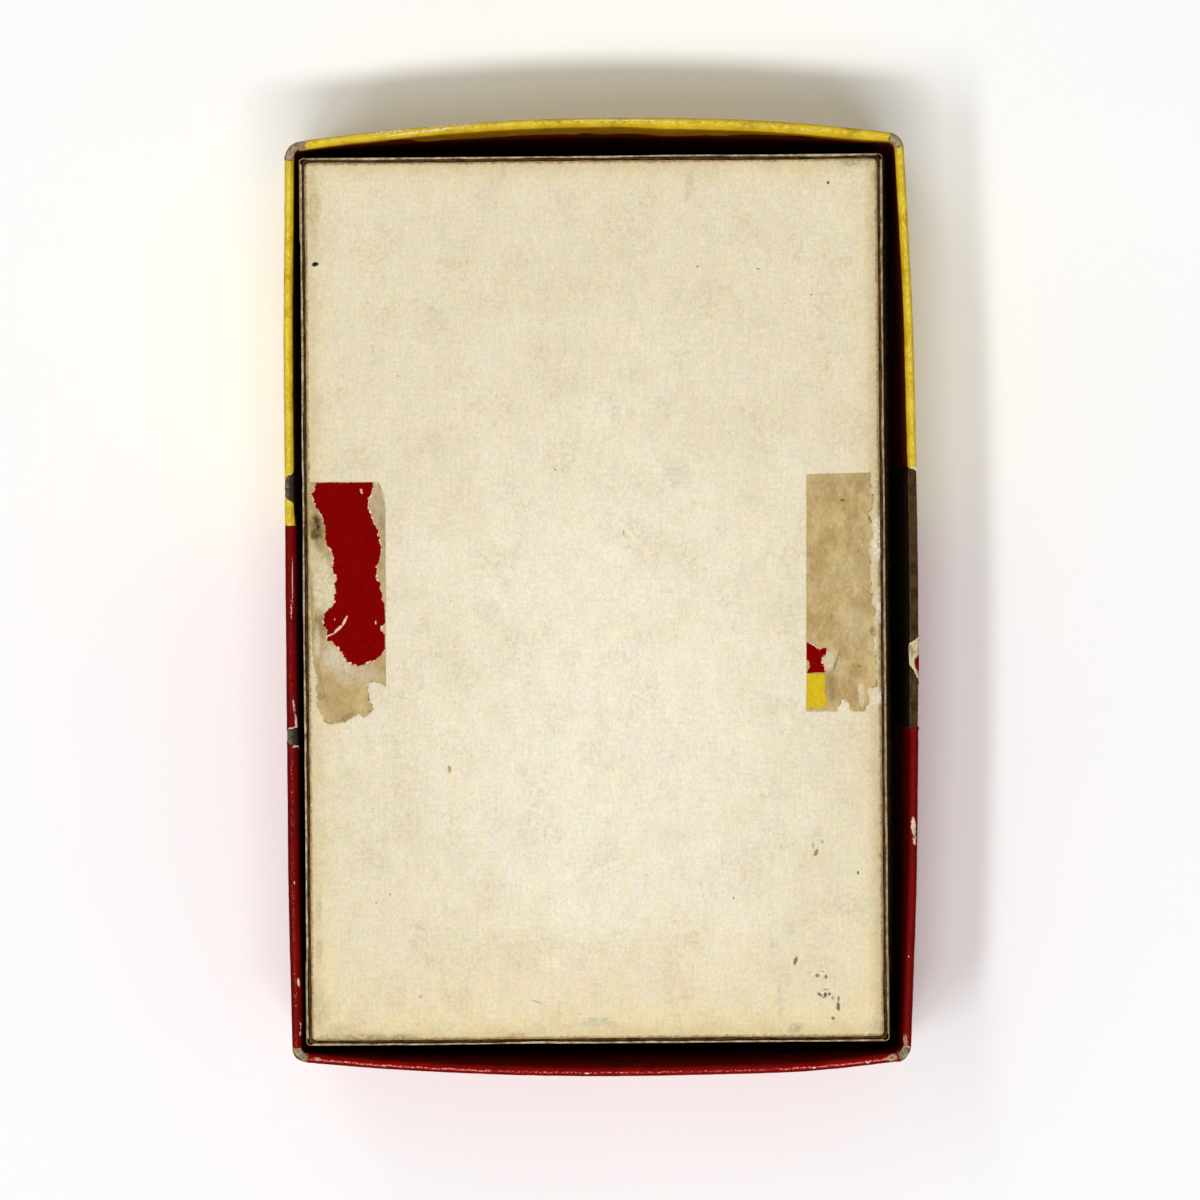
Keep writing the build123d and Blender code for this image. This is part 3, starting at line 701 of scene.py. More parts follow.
def seal_paper_material():
    """Beige seal paper, skinned and stained where its print was torn off, with a few painted shadows beside lifted
    edges.
    """
    m = Material("seal_paper", 0.9, 0.04)
    m.colour = m.mix("b49968", "ceb784", m.noise(2.2, 6, 0.7, stretch=(1, 1.7, 1)).step(0.38, 0.62))
    grit = m.noise(0.45, 6, 0.85, shift=27).step(0.30, 0.66, 0.35, 1)
    for x, y, rx, ry, turn, tint, share in seal_stains_and_shadows:
        m.coat(tint, m.spot((x, y), (rx, ry), turn, 0.7, 0.5) * grit * share)
    m.coat("947a4c", m.noise(0.8, 5, 0.8, stretch=(1, 1.8, 1), shift=8).step(0.50, 0.76, 0, 0.6))
    m.coat("decca4", m.noise(0.6, 5, 0.8, stretch=(1, 1.6, 1), shift=2).step(0.52, 0.78, 0, 0.6))
    grain = m.noise(0.3, 4, 0.8, stretch=(1, 1.6, 1), shift=12)
    m.shade(grain, 0.7)
    m.tint(m.mix((1.04, 0.98, 0.96), (0.98, 1.012, 0.94), m.noise(1.1, 4, 0.7, shift=9).step(0.3, 0.7)))
    fringe = m.mix("ece2c8", "7a6a48", m.noise(0.9, 3, shift=31).step(0.46, 0.56))
    m.coat(fringe, grain.times(0.2, m.attribute("torn")).step(0.26, 0.12, 0, 0.75))
    m.bump(grain + m.noise(0.8, 4, 0.7, shift=4), 0.05)
    return m.finish()


def seal_print_material(name, yellow_side):
    """What is left of the seal's print, pale along its torn edges."""
    m = Material(name, 0.5, 0.0)
    if yellow_side:
        m.colour = m.mix("debe24", "ceac1e", m.noise(0.6, 5, 0.75).step(0.4, 0.65))
        m.shade(m.noise(0.3, 3, 0.7, shift=3), 0.3)
    else:
        m.colour = m.mix("840604", "790403", m.noise(0.5, 4, 0.7).step(0.35, 0.65))
    ragged = m.noise(0.22, 4, 0.75).times(0.30, m.attribute("torn"))
    width = m.noise(1.1, 3, shift=6).step(0.42, 0.60, 0.02, 0.0 if yellow_side else 0.17)
    frayed = (ragged - width).step(0.15, 0.11)
    for x, y, rx, ry, turn in () if yellow_side else print_scratches:
        frayed = m.most(frayed, m.spot((x, y), (rx, ry), turn, 0.3, 0.15))
    m.coat(m.mix("f0d6ba", "ce967c", m.noise(0.4, 3, shift=3).step(0.4, 0.65)), frayed)
    m.bump(m.noise(0.5, 4, 0.6, shift=3), 0.02)
    return m.finish()


def scrap_material():
    """Torn seal paper with a bit of dark red print where it bends down outside."""
    m = Material("seal_scrap_paper", 0.9, 0.05)
    fibre = m.noise(0.35, 5, 0.75, stretch=(1, 2.0, 1))
    m.colour = m.mix("a68e60", "d6c69e", fibre.step(0.38, 0.62))
    m.coat("e8dec6", m.attribute("torn").step(0.2, 0.05, 0, 0.8))
    place = m.joined(m.attribute("along"), m.attribute("over"))
    m.coat("680508", m.spot((-7.1, -0.3), (1.05, 1.15), 0, 0.3, 0.08, place))
    m.bump(fibre, 0.05)
    return m.finish()


def face_material():
    """Print of the lid's face: the two grounds, a double border and two rows of lozenges."""
    cream = "e8d8b0"
    m = Material("printed_face", 0.4, 0.05)
    m.colour = m.mix(ink(m, *red_ink), ink(m, *yellow_ink), on_yellow(m))
    margin = m.inside(m.x, half_x, half_y)
    for distance, width in ((4.0, 0.9), (5.6, 0.35)):
        m.coat(cream, abs(margin - distance).step(width / 2 + 0.05, width / 2 - 0.05))
    repeat = m.math("PINGPONG", m.x + 100, 5.0)
    across = abs(repeat - 2.5) / 1.7
    for centre in (30.0, -18.0):
        along = abs(m.y - centre) / 4.2
        m.coat(cream, (across + along).step(1.02, 0.98) * margin.step(7.2, 7.4))
    scuff = m.noise(0.4, 5, 0.75, shift=4).step(0.52, 0.64) * m.noise(7, 4, shift=9).step(0.52, 0.66, 0, 0.8)
    worn_edge = (margin - m.noise(0.8, 4, 0.7) * 1.4).step(0.0, -0.5)
    m.coat("e4d4ba", m.most(scuff, worn_edge))
    m.bump(m.noise(0.7, 4, 0.6), 0.02)
    return m.finish()


def card_material():
    """Card backs with a plain diagonal lattice inside a white margin, and aged white edges."""
    m = Material("card_stock", 0.35, 0.45)
    m.colour = m.mix("ded6c2", "eee9dc", m.noise(5, 3).step(0.35, 0.65))
    m.coat("c4b89c", m.attribute("tone").step(0.2, 1.0, 0, 0.5))
    low, high = box_mm("playing_cards")
    x = m.x - (low[0] + high[0]) / 2
    slants = (m.math("PINGPONG", x * sign + m.y + 400, 1.5) for sign in (1, -1))
    lines = m.most(*(slant.step(0.55, 0.45) for slant in slants))
    margin = m.inside(x, 28.6, 44.4)
    printed = m.most(lines * margin.step(3.9, 4.1), abs(margin - 3.6).step(0.35, 0.25))
    normal = m.node("SeparateXYZ", m.value("NewGeometry", output="Normal"))
    m.coat("841a18", printed * Value(m, normal.outputs[2]).step(0.5, 0.7))
    m.bump(m.noise(0.3, 3), 0.005)
    return m.finish()


def leaflet_material():
    """Thin cream leaflet paper, yellowed at its edges."""
    m = Material("leaflet_paper", 0.75, 0.2)
    low, high = box_mm("rules_leaflet")
    m.colour = m.mix("e0d6bc", "ece4ce", m.noise(8, 4).step(0.35, 0.65))
    margin = m.least(m.least(m.x - low[0], high[0] - m.x), m.least(m.y - low[1], high[1] - m.y))
    m.coat("c6ac78", (margin - m.noise(3, 4) * 4).step(1, -3, 0, 0.6))
    m.coat("a8804a", m.noise(1.4, 3, shift=5).step(0.70, 0.76, 0, 0.4))
    m.bump(m.noise(0.3, 4, 0.7), 0.01)
    return m.finish()


# The lid's wall


def station(s):
    """Base point, outward normal and bow of the lid's outline for each s."""
    s = np.mod(s, around)
    part = np.clip(np.searchsorted(starts, s, side="right") - 1, 0, 7)
    local = s - starts[part]
    found = [np.zeros_like(s)] * 5
    for side, (nx, ny) in side_normals.items():
        away = half_x if nx else half_y
        along = local - sides[side] / 2
        share = 2 * along / sides[side]
        swollen = sum(height * np.exp(-((along - place) / width) ** 2) for place, width, height in rim_swellings[side])
        bow = side_bows[side] * (1 - share ** 2) + swollen * (1 - share ** 6)
        values = (nx * away - ny * along, ny * away + nx * along, nx, ny, bow)
        found = [np.where(part == side, new, old) for new, old in zip(values, found)]
    for corner, (cx, cy) in corner_centres.items():
        angle = (corner - 1) / 2 * math.pi / 2 + local / corner_radius
        cos, sin = np.cos(angle), np.sin(angle)
        values = (cx + corner_radius * cos, cy + corner_radius * sin, cos, sin)
        found[:4] = [np.where(part == corner, new, old) for new, old in zip(values, found)]
    return found


def wall_point(s, inset, z):
    """Points of the lid's wall, a distance inside its outer surface at a height."""
    x, y, nx, ny, bow = station(s)
    out = bow * z / lid_depth - inset
    px = x + nx * out
    py = y + ny * out
    py = py + skew * (px / half_x) * (py / half_y)
    return np.stack([px, py, np.broadcast_to(z, px.shape)], -1)


def profile(t, outer, inner, top):
    """Inset and height along the wall: below 0 outside, then over the rim, then down inside."""
    angle = np.clip(t / rim_arc, 0, 1) * math.pi
    across = np.sign(np.cos(angle)) * np.abs(np.cos(angle)) ** (2 / rim_square)
    up = np.abs(np.sin(angle)) ** (2 / rim_square)
    inset = (outer + inner) / 2 - (inner - outer) / 2 * across
    z = shoulder + (top - shoulder) * up
    return inset, np.where(t < 0, shoulder + t, np.where(t > rim_arc, shoulder - (t - rim_arc), z))


def s_at(side, along):
    """The s of a place on one side, given by its x or y."""
    nx, ny = side_normals[side]
    return starts[side] + sides[side] / 2 + along * (nx - ny)


def beyond(s, side, first, second):
    """Distance of s outside the stretch between two places on one side, negative inside it."""
    low, high = sorted((s_at(side, first), s_at(side, second)))
    return np.maximum(low - s, s - high)


def from_corner(s, corner):
    """Distance along the wall from a corner's middle."""
    middle = starts[corner] + quarter / 2
    return np.abs(np.mod(s - middle + around / 2, around) - around / 2)


def near_corner(s):
    """Distance along the wall from the nearest corner's middle."""
    return np.minimum.reduce([from_corner(s, corner) for corner in corner_centres])


def swell(s):
    """How much thicker the lid's wall is along two stretches: on the left below the upper tear, and at the top."""
    left = 0.18 * smooth(1.0, -1.5, beyond(s, LEFT, 9.0, -47.0))
    return left + 0.20 * smooth(1.5, -4.0, beyond(s, TOP, 31.0, 4.0))


def intact(s, t):
    """Distance from the nearest tear in the wrap, negative where the paper is gone."""
    ragged = 0.30 * rough(s, t, 1.3, 5) + 0.14 * rough(s, t, 0.32, 9)
    tear_low, tear_high = (s_at(RIGHT, place) for place in right_tear)
    along = np.maximum(tear_low - s, s - (tear_high + 0.38 * np.clip(t, -2, 2)))
    down = -(t + right_tear_drop)
    distance = np.maximum(along, down) + ragged * np.where(along > down - 0.5, 0.5, 2.0)
    for tear, flare in zip(left_tears, tear_flares):
        along = beyond(s, LEFT, *tear) - (flare * np.clip(t, -1.2, 2.5) - flare)
        distance = np.minimum(distance, np.maximum(along, -(t + 0.75)) + 0.6 * ragged)
    reach = np.zeros_like(s)
    for corner, length in bare_corners.items():
        reach = np.where(from_corner(s, corner) < 6, length, reach)
    inside = np.clip(t - rim_arc + 0.3, 0, 3)
    bare = np.maximum(near_corner(s) - reach + 0.9 * smooth(0, 0.6, inside) + 0.12 * inside, -(t + 0.35))
    return np.minimum(distance, bare + 1.3 * ragged + 0.35 * noise(s, t, 0.9, 13))


def uneven(fine, coarse):
    """Positions round the lid, a coarse step apart and a fine one in the stretches with tears and corners."""
    ranges = [[s_at(RIGHT, place) for place in right_tear]]
    ranges += [sorted(s_at(LEFT, place) for place in tear) for tear in left_tears]
    ranges = [(low - 1.5, high + 1.5) for low, high in ranges]
    ranges += [(starts[corner] - 2.5, starts[corner + 1] + 2.5) for corner in corner_centres]
    places = [0.0]
    while places[-1] < around - TINY:
        here = places[-1]
        step = coarse
        for low, high in ranges:
            if low - step <= here <= high:
                step = fine
        places.append(min(here + step, around))
    if around - places[-2] < 0.05:
        places.pop(-2)
    return np.array(places[:-1])


def rub_mask(s):
    """How likely the wrap is rubbed through along the rim's crest, from 0 to 1."""
    mask = 0.15 * np.ones_like(s)
    for side, first, second, share in (
        (BOTTOM, -31.5, -12.0, 1.0), (BOTTOM, 19.0, 31.5, 1.0), (BOTTOM, -12.0, 19.0, 0.72),
        (TOP, -12.5, 30.0, 0.3), (LEFT, -44.0, -16.0, 0.5), (LEFT, -11.0, -1.0, 0.35),
    ):
        mask = np.maximum(mask, share * smooth(1.0, -0.5, beyond(s, side, first, second)))
    return np.maximum(mask, 0.55 * smooth(4.0, 2.0, near_corner(s)))


def lid_wrap():
    """Printed paper round the lid's walls and over the rim, with real holes where it is torn away."""
    paper = 0.08
    s_line = np.append(uneven(0.13, 0.45), around)
    t_line = np.concatenate([
        np.linspace(-shoulder + 0.12, -10.5, 14)[:-1], np.arange(-10.5, -1.4, 0.26),
        np.arange(-1.4, rim_arc + 1.0, 0.13), np.linspace(rim_arc + 1.0, rim_arc + turn_in, 18)[1:]])
    s_grid, t_grid = np.meshgrid(s_line, t_line)
    wavy = 1 + 0.075 * noise(s_grid, 0 * s_grid, 17, 3) + 0.03 * noise(s_grid, 0 * s_grid, 4, 4)
    t_grid = np.where(t_grid > rim_arc + 1.0, rim_arc + 1.0 + (t_grid - rim_arc - 1.0) * wavy, t_grid)
    s, t, kept = cut_grid(s_grid, t_grid, intact, 0.09)
    s[:, [0, -1]] = s_grid[:, [0, -1]]
    t[:, [0, -1]] = t_grid[:, [0, -1]]
    distance = intact(s, t)

    def surface(depth):
        inset, z = profile(t, depth, wall_thickness + swell(s) - depth, lid_depth - depth)
        inset = inset + 0.30 * smooth(-shoulder + 0.65, -shoulder + 0.05, t) ** 2
        ripple = 0.022 * rough(s, t, 2.4, 21) + 0.02 * noise(s, t, 9, 25)
        near_rim = smooth(-2.5, -0.2, t) * smooth(rim_arc + 2.5, rim_arc + 0.4, t)
        inset = inset - ripple * 0.6 + 0.012 * near_rim * noise(s, t * 3, 0.7, 31)
        crown = smooth(0.1, 0.6, t) * smooth(rim_arc, 1.0, t)
        z = z + 0.03 * crown * (noise(s, t, 1.6, 33) - 1)
        lift = 0.16 * smooth(0.55, 0.0, distance) * smooth(-0.2, 0.6, noise(s, t, 1.4, 41))
        outward = np.where(t < rim_arc * 0.3, 1.0, np.where(t > rim_arc * 0.7, -1.0, 0.0))
        z = z + lift * smooth(-0.3, 0.4, t) * smooth(rim_arc + 0.3, rim_arc - 0.4, t) * 0.3
        return wall_point(s, inset - lift * outward * 0.7, np.minimum(z, lid_depth + 0.05)).reshape(-1, 3)

    points, faces, used = thick(surface(0.0), surface(paper), kept)
    values = {"torn": np.clip(distance, 0, 2), "rubbed": rub_mask(s), "cornered": smooth(4.0, 3.0, near_corner(s)),
              "along": s, "over": t}
    attributes = on_both_sides(values, used)
    attributes["torn"][len(used):] = 0
    piece = new_piece("lid_wrap_paper", points, faces, wrap_material(), "lid", attributes)
    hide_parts("lid_side_wrap")


def lid_board():
    """Chipboard of the lid, one closed shell: its rim swells and frays where the paper is gone."""
    s = uneven(0.16, 0.5)
    grey = np.maximum.reduce([smooth(0.6, -0.1, beyond(s, LEFT, *tear)) for tear in left_tears])
    bare = np.maximum(smooth(0.5, -0.6, beyond(s, RIGHT, *right_tear)), grey)
    corner = smooth(3.2, 1.2, near_corner(s))
    raw = np.maximum(bare, corner)
    stay = smooth(10.0, 9.2, near_corner(s))
    outer = 0.10 + 0.10 * stay * (1 - corner) - 0.06 * bare
    inner = 0.88 + 0.07 * bare + 0.06 * corner + swell(s)
    t_line = np.concatenate([
        np.linspace(-shoulder + 1.0, -9, 5), np.linspace(-8, -1, 12),
        np.arange(-0.8, rim_arc + 0.8, 0.12), np.linspace(rim_arc + 1.0, rim_arc + 19.6, 16)])
    low = face_high[2] + 0.03
    floor_z = 0.87
    away_from_rim = 99.0
    level = np.zeros_like(s)

    def flat(ring):
        return ring, level, 0, away_from_rim

    layers = [flat(wall_point(s, level + inset, level + z)) for inset, z in (
        (1.5, low), (0.9, low), (outer + 0.55, low + 0.05), (outer + 0.36, low + 0.25))]
    for t in t_line:
        inset, z = profile(level + t, outer, inner, lid_depth - 0.10 + 0.03 * bare)
        fray = raw * (0.035 * rough(s, level + t * 2, 0.5, 51) + 0.03 * noise(s, level + t * 3, 0.25, 55))
        on_rim = smooth(-0.3, 0.3, t) * smooth(rim_arc + 0.3, rim_arc - 0.4, t)
        ring = wall_point(s, inset + fray * (1 - on_rim), z + fray * on_rim - 0.04 * raw * on_rim)
        ply = level + abs(t / rim_arc - 0.5) * 2 * (0 <= t <= rim_arc)
        layers.append((ring, ply, smooth(-1.2, -0.4, t) * smooth(rim_arc + 0.3, rim_arc - 0.2, t), t))
    layers += [flat(wall_point(s, level + inset, level + z)) for inset, z in ((1.15, floor_z + 0.15), (1.5, floor_z))]
    for share in (0.93, 0.8, 0.6, 0.2):
        narrower = (share, share, 1)
        layers.insert(0, flat(layers[0][0] * narrower))
        layers.append(flat(layers[-1][0] * narrower))
    rings, plies, on_rims, overs = zip(*layers)
    shown = np.repeat(on_rims, len(s))
    attributes = {"ply": np.concatenate(plies), "corner": np.tile(corner, len(rings)) * shown,
                  "grey": np.tile(grey, len(rings)) * shown, "over": np.repeat(overs, len(s))}
    points, faces = np.vstack(rings), tube_faces(len(rings), len(s))
    piece = new_piece("lid_board_shell", points, faces, lid_board_material(), "lid", attributes)
    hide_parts("lid_board")


def lid_face():
    """Printed paper on the lid's face, turned up a little at its edge."""
    paper = 0.08
    s = uneven(0.4, 1.0)
    shape = ((0.12, 0.30), (0.22, 0.14), (0.42, 0.035), (0.75, 0.0), (1.5, 0.0))
    outer = [wall_point(s, 0 * s + inset, 0 * s + z) for inset, z in shape]
    outer += [outer[-1] * (share, share, 1) for share in (0.93, 0.75, 0.45, 0.1)]
    rings = [ring + np.array([0, 0, paper]) for ring in outer[::-1]] + outer
    faces = tube_faces(len(rings), len(s))
    piece = new_piece("lid_face_paper", np.vstack(rings), faces, face_material(), "lid")
    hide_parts("lid_face_sheet")


def lid_stays():
    """Kraft paper strips round the lid's corners, between its board and its wrap."""
    material = kraft_material()
    for corner, name in corner_names.items():
        middle = starts[corner] + quarter / 2
        z_line = np.linspace(1.0, lid_depth - 0.75, 30)
        s, z = np.meshgrid(middle + np.linspace(-9.2, 9.2, 120), z_line)
        z = z + 0.12 * rough(s, z, 2.0, 61) * (np.abs(z - z_line.mean()) > 9)
        s = s + (np.abs(s - middle) > 9) * 0.3 * rough(z, s, 1.5, 63)
        front, back = (wall_point(s, 0 * s + inset, z).reshape(-1, 3) for inset in (0.095, 0.165))
        points, faces, _ = thick(front, back, grid_faces(*s.shape))
        piece = new_piece(f"lid_stay_paper_{name}", points, faces, material, "lid")
        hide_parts(f"lid_stay_{name}")


# Flat sheets


def nearest_side(x, y, corners):
    """Distance to a polygon, negative outside it, and the number of its nearest side."""
    best = np.full(x.shape, 1e9)
    nearest = np.zeros(x.shape, int)
    inside = np.zeros(x.shape, bool)
    for number, ((ax, ay), (bx, by)) in enumerate(zip(corners, np.roll(corners, -1, 0))):
        dx, dy = bx - ax, by - ay
        along = np.clip(((x - ax) * dx + (y - ay) * dy) / (dx * dx + dy * dy), 0, 1)
        away = np.hypot(x - ax - along * dx, y - ay - along * dy)
        nearest = np.where(away < best, number, nearest)
        best = np.minimum(best, away)
        inside ^= ((ay > y) != (by > y)) & (x < dx * (y - ay) / (dy if dy else 1e-9) + ax)
    return np.where(inside, best, -best), nearest


def polygon_distance(x, y, corners, ragged):
    """Distance inside a polygon, negative outside, with rough edges where its sides are torn."""
    signed, nearest = nearest_side(x, y, corners)
    rough_edge = 0.16 * rough(x, y, 0.9, 71) + 0.26 * rough(x, y, 0.34, 75)
    return signed + np.asarray(ragged)[nearest] * rough_edge + 0.02 * rough(x, y, 0.8, 77)


def cut_sheet(low, high, step, distance_at, height_at, thickness):
    """A flat sheet cut to where a distance is positive: points, faces and each point's distance from the edge."""
    x, y = np.meshgrid(*(np.arange(low[axis], high[axis] + step, step) for axis in (0, 1)))
    x, y, kept = cut_grid(x, y, distance_at, step * 0.7)
    distance = np.clip(distance_at(x, y), 0, None)
    top = height_at(x, y, distance)
    front, back = (np.stack([x, y, z], -1).reshape(-1, 3) for z in (top, top - thickness))
    points, faces, used = thick(front, back, kept)
    return points, faces, np.tile(distance.ravel()[used], 2)


def stained(x, y, stains):
    """How far ragged stains cover each place, from 0 to 1."""
    cover = np.zeros_like(x)
    ragged = 0.45 * rough(x, y, 1.3, 141)
    for cx, cy, rx, ry, turn, share in stains:
        cos, sin = math.cos(math.radians(turn)), math.sin(math.radians(turn))
        along = (x - cx) * cos + (y - cy) * sin
        across = (y - cy) * cos - (x - cx) * sin
        cover = np.maximum(cover, share * smooth(1.35, 0.6, np.hypot(along / rx, across / ry) + ragged))
    return cover


def tray_panel():
    """Cream lining of the tray's bottom: a slightly wavy sheet with soft, uneven cut edges."""
    centre = (panel_low + panel_high) / 2
    half = (panel_high - panel_low) / 2
    radius = 0.6

    def distance_at(x, y):
        dx = np.abs(x - centre[0]) - (half[0] - radius)
        dy = np.abs(y - centre[1]) - (half[1] - radius)
        outside = np.hypot(np.maximum(dx, 0), np.maximum(dy, 0)) + np.minimum(np.maximum(dx, dy), 0)
        return radius - outside + (0.05 * noise(x, y, 7, 81) + 0.035 * rough(x, y, 1.1, 83))

    def height_at(x, y, distance):
        wave = 0.02 * noise(x, y, 19, 85) + 0.012 * rough(x, y, 4, 87) + 0.006 * rough(x, y, 0.9, 89)
        return panel_high[2] - 0.03 + wave - 0.13 * smooth(0.38, 0.0, distance) ** 2

    points, faces, edge = cut_sheet(panel_low[:2] - 0.3, panel_high[:2] + 0.3, 0.27, distance_at, height_at, 0.16)
    attributes = {key: stained(points[:, 0], points[:, 1], stains) for key, (_, stains) in panel_stains.items()}
    attributes["torn"] = edge
    piece = new_piece("tray_panel_sheet", points, faces, cream_material(), "tray", attributes)
    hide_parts("tray_panel_liner")


def tray_wall_sheets():
    """Pale lining of the tray's walls, its cut top edge wavering with small burrs."""
    sheet = 0.17
    # Round the sheet's section: depth below the top edge, place through the sheet, and share of the edge's bend
    section = (
        (21.0, 0, 0), (8.0, 0, 0), (2.5, 0, 0.2), (0.8, 0, 0.6), (0.25, 0, 0.9), (0.06, 0.02, 1),
        (0.0, 0.07, 1), (0.0, 1.0, 1), (0.06, 1.1, 1), (0.8, 1.0, 0.6), (2.5, 1.0, 0.2), (21.0, 1.0, 0))
    material = pale_ply_material()
    walls = (("left", 0, -1, 101), ("right", 0, 1, 111), ("top", 1, 1, 121), ("bottom", 1, -1, 131))
    for name, axis, sign, seed in walls:
        low, high = box_mm(f"tray_liner_{name}")
        other = 1 - axis
        outer = low[axis] if sign < 0 else high[axis]
        along = np.arange(low[other], high[other] + 0.1, 0.2)
        width, bend, top = (
            base + wave * noise(along, 0 * along, long, seed + n) + grain * rough(along, 0 * along, short, seed + n + k)
            for base, wave, long, n, grain, short, k in (
                (sheet, 0.05, 6, 0, 0.03, 0.9, 3), (0, 0.05, 9, 5, 0.03, 1.6, 2), (high[2], 0.02, 5, 9, 0.05, 1.2, 2)))
        rows = []
        for drop, place, swing in section:
            row = np.zeros((len(along), 3))
            row[:, axis] = outer - sign * (0.01 + (width if drop < 2 else sheet) * place - bend * swing * 0.6)
            row[:, other] = along
            row[:, 2] = np.maximum(top - drop, low[2] + 0.02)
            rows.append(row)
        points = np.stack(rows, 1).reshape(-1, 3)
        faces = tube_faces(len(along), len(rows))
        piece = new_piece(f"tray_wall_sheet_{name}", points, faces, material, "tray")
        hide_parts(f"tray_liner_{name}")


def seal_piece(name, node, slot, material, thickness, curl, corners, ragged):
    """A torn flat scrap lying on what is below it, its torn edges lifted a little."""
    low = box_mm(node)[0]
    corners = np.asarray(corners, float).reshape(-1, 2)

    def distance_at(x, y):
        return polygon_distance(x, y, corners, ragged)

    def height_at(x, y, distance):
        curled = curl * smooth(0.9, 0.0, distance) * smooth(-0.1, 0.7, noise(x, y, 1.9, 91))
        return low[2] + thickness + 0.012 * rough(x, y, 1.6, 93) + curled

    points, faces, edge = cut_sheet(corners.min(0) - 0.5, corners.max(0) + 0.5, 0.10, distance_at, height_at, thickness)
    nearest = nearest_side(points[:, 0], points[:, 1], corners)[1]
    edge = np.where(np.asarray(ragged)[nearest] > 0.3, edge, 1.0)
    piece = new_piece(name, points, faces, material, "tray", {"torn": edge})
    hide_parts(node)


def seals():
    """Both seals: their beige paper and what is left of the print."""
    paper = ("seal_paper", seal_paper_material(), 0.06, 0.05)
    red = ("seal_print", seal_print_material("seal_print_red", False), 0.035, 0.03)
    yellow = ("seal_print_yellow", seal_print_material("seal_print_yellow", True), 0.035, 0.03)
    for name, node, kind in (
        ("seal_left_sheet", "seal_left_paper", paper), ("seal_left_red", "seal_left_print", red),
        ("seal_right_sheet", "seal_right_paper", paper), ("seal_right_red_scrap", "seal_right_red", red),
        ("seal_right_yellow_scrap", "seal_right_yellow", yellow),
    ):
        seal_piece(name, node, *kind, *seal_outlines[node])


def rim_scrap():
    """Torn scrap of seal paper draped over the right wall's bare rim, with a bit of red print on it."""
    outline = np.reshape([
        -4.0, -0.1, -4.5, 0.75, -5.1, 1.40, -5.7, 1.72, -6.5, 1.50, -7.5, 1.05, -8.2, 0.75, -8.8, 0.45,
        -9.45, 0.05, -9.2, -1.6, -7.0, -2.3, -4.8, -1.9], (-1, 2))
    step = 0.09
    s, t = np.meshgrid(np.arange(s_at(RIGHT, -10.4), s_at(RIGHT, -3.2), step), np.arange(-2.9, rim_arc + 0.8, step))

    def distance_at(y, t):
        return polygon_distance(y, t, outline, [0.5] * len(outline))

    y, t, kept = cut_grid(s - starts[RIGHT] - sides[RIGHT] / 2, t, distance_at, 0.06)
    distance = np.clip(distance_at(y, t), 0, None)
    s = y + starts[RIGHT] + sides[RIGHT] / 2

    def surface(depth):
        inset, z = profile(t, -0.03 + depth, wall_thickness - 0.02 - depth, lid_depth - 0.02 - depth)
        lift = 0.10 * smooth(0.5, 0, distance)
        inset = inset - lift * np.where(t < 0.5, 1, np.where(t > 1.1, -1, 0))
        return wall_point(s, inset, z + 0.4 * lift).reshape(-1, 3)

    points, faces, used = thick(surface(0), surface(0.05), kept)
    attributes = on_both_sides({"torn": distance, "along": y, "over": t}, used)
    piece = new_piece("lid_rim_scrap", points, faces, scrap_material(), "lid", attributes)
    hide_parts("lid_seal_scrap")


# Cards, leaflet and the CAD nodes that keep their shape


def cards():
    """The deck: every card with rounded corners and softened edges, a little out of line with the next."""
    count = 45
    thickness = 0.30
    radius = 3.2
    scatter = 0.25
    bevel = 0.05
    low, high = box_mm("playing_cards")
    pitch = (high[2] - low[2] - thickness) / (count - 1)
    middle = (low + high) / 2
    half = (high - low) / 2 - scatter
    outline = []
    for corner, (sx, sy) in enumerate(((1, 1), (-1, 1), (-1, -1), (1, -1))):
        for angle in np.linspace(corner * math.pi / 2, (corner + 1) * math.pi / 2, 7):
            outline.append((sx * (half[0] - radius) + radius * math.cos(angle),
                            sy * (half[1] - radius) + radius * math.sin(angle)))
    outline = np.array(outline)
    size = len(outline)
    points, faces, tones = [], [], []
    for number in range(count):
        shift = np.array([scatter * math.sin(2.4 * number), scatter * math.sin(1.7 * number + 1)])
        faces += [[i + len(points) for i in face] for face in tube_faces(4, size)]
        for inset, height in ((bevel, 0.0), (0.0, bevel), (0.0, thickness - bevel), (bevel, thickness)):
            ring = outline * (1 - inset / 30) + middle[:2] + shift
            points += [(x, y, low[2] + number * pitch + height) for x, y in ring]
        tones += [0.5 + 0.5 * math.sin(5.1 * number)] * (4 * size)
    piece = new_piece("card_deck", points, faces, card_material(), "deck", {"tone": tones})
    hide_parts("playing_cards")


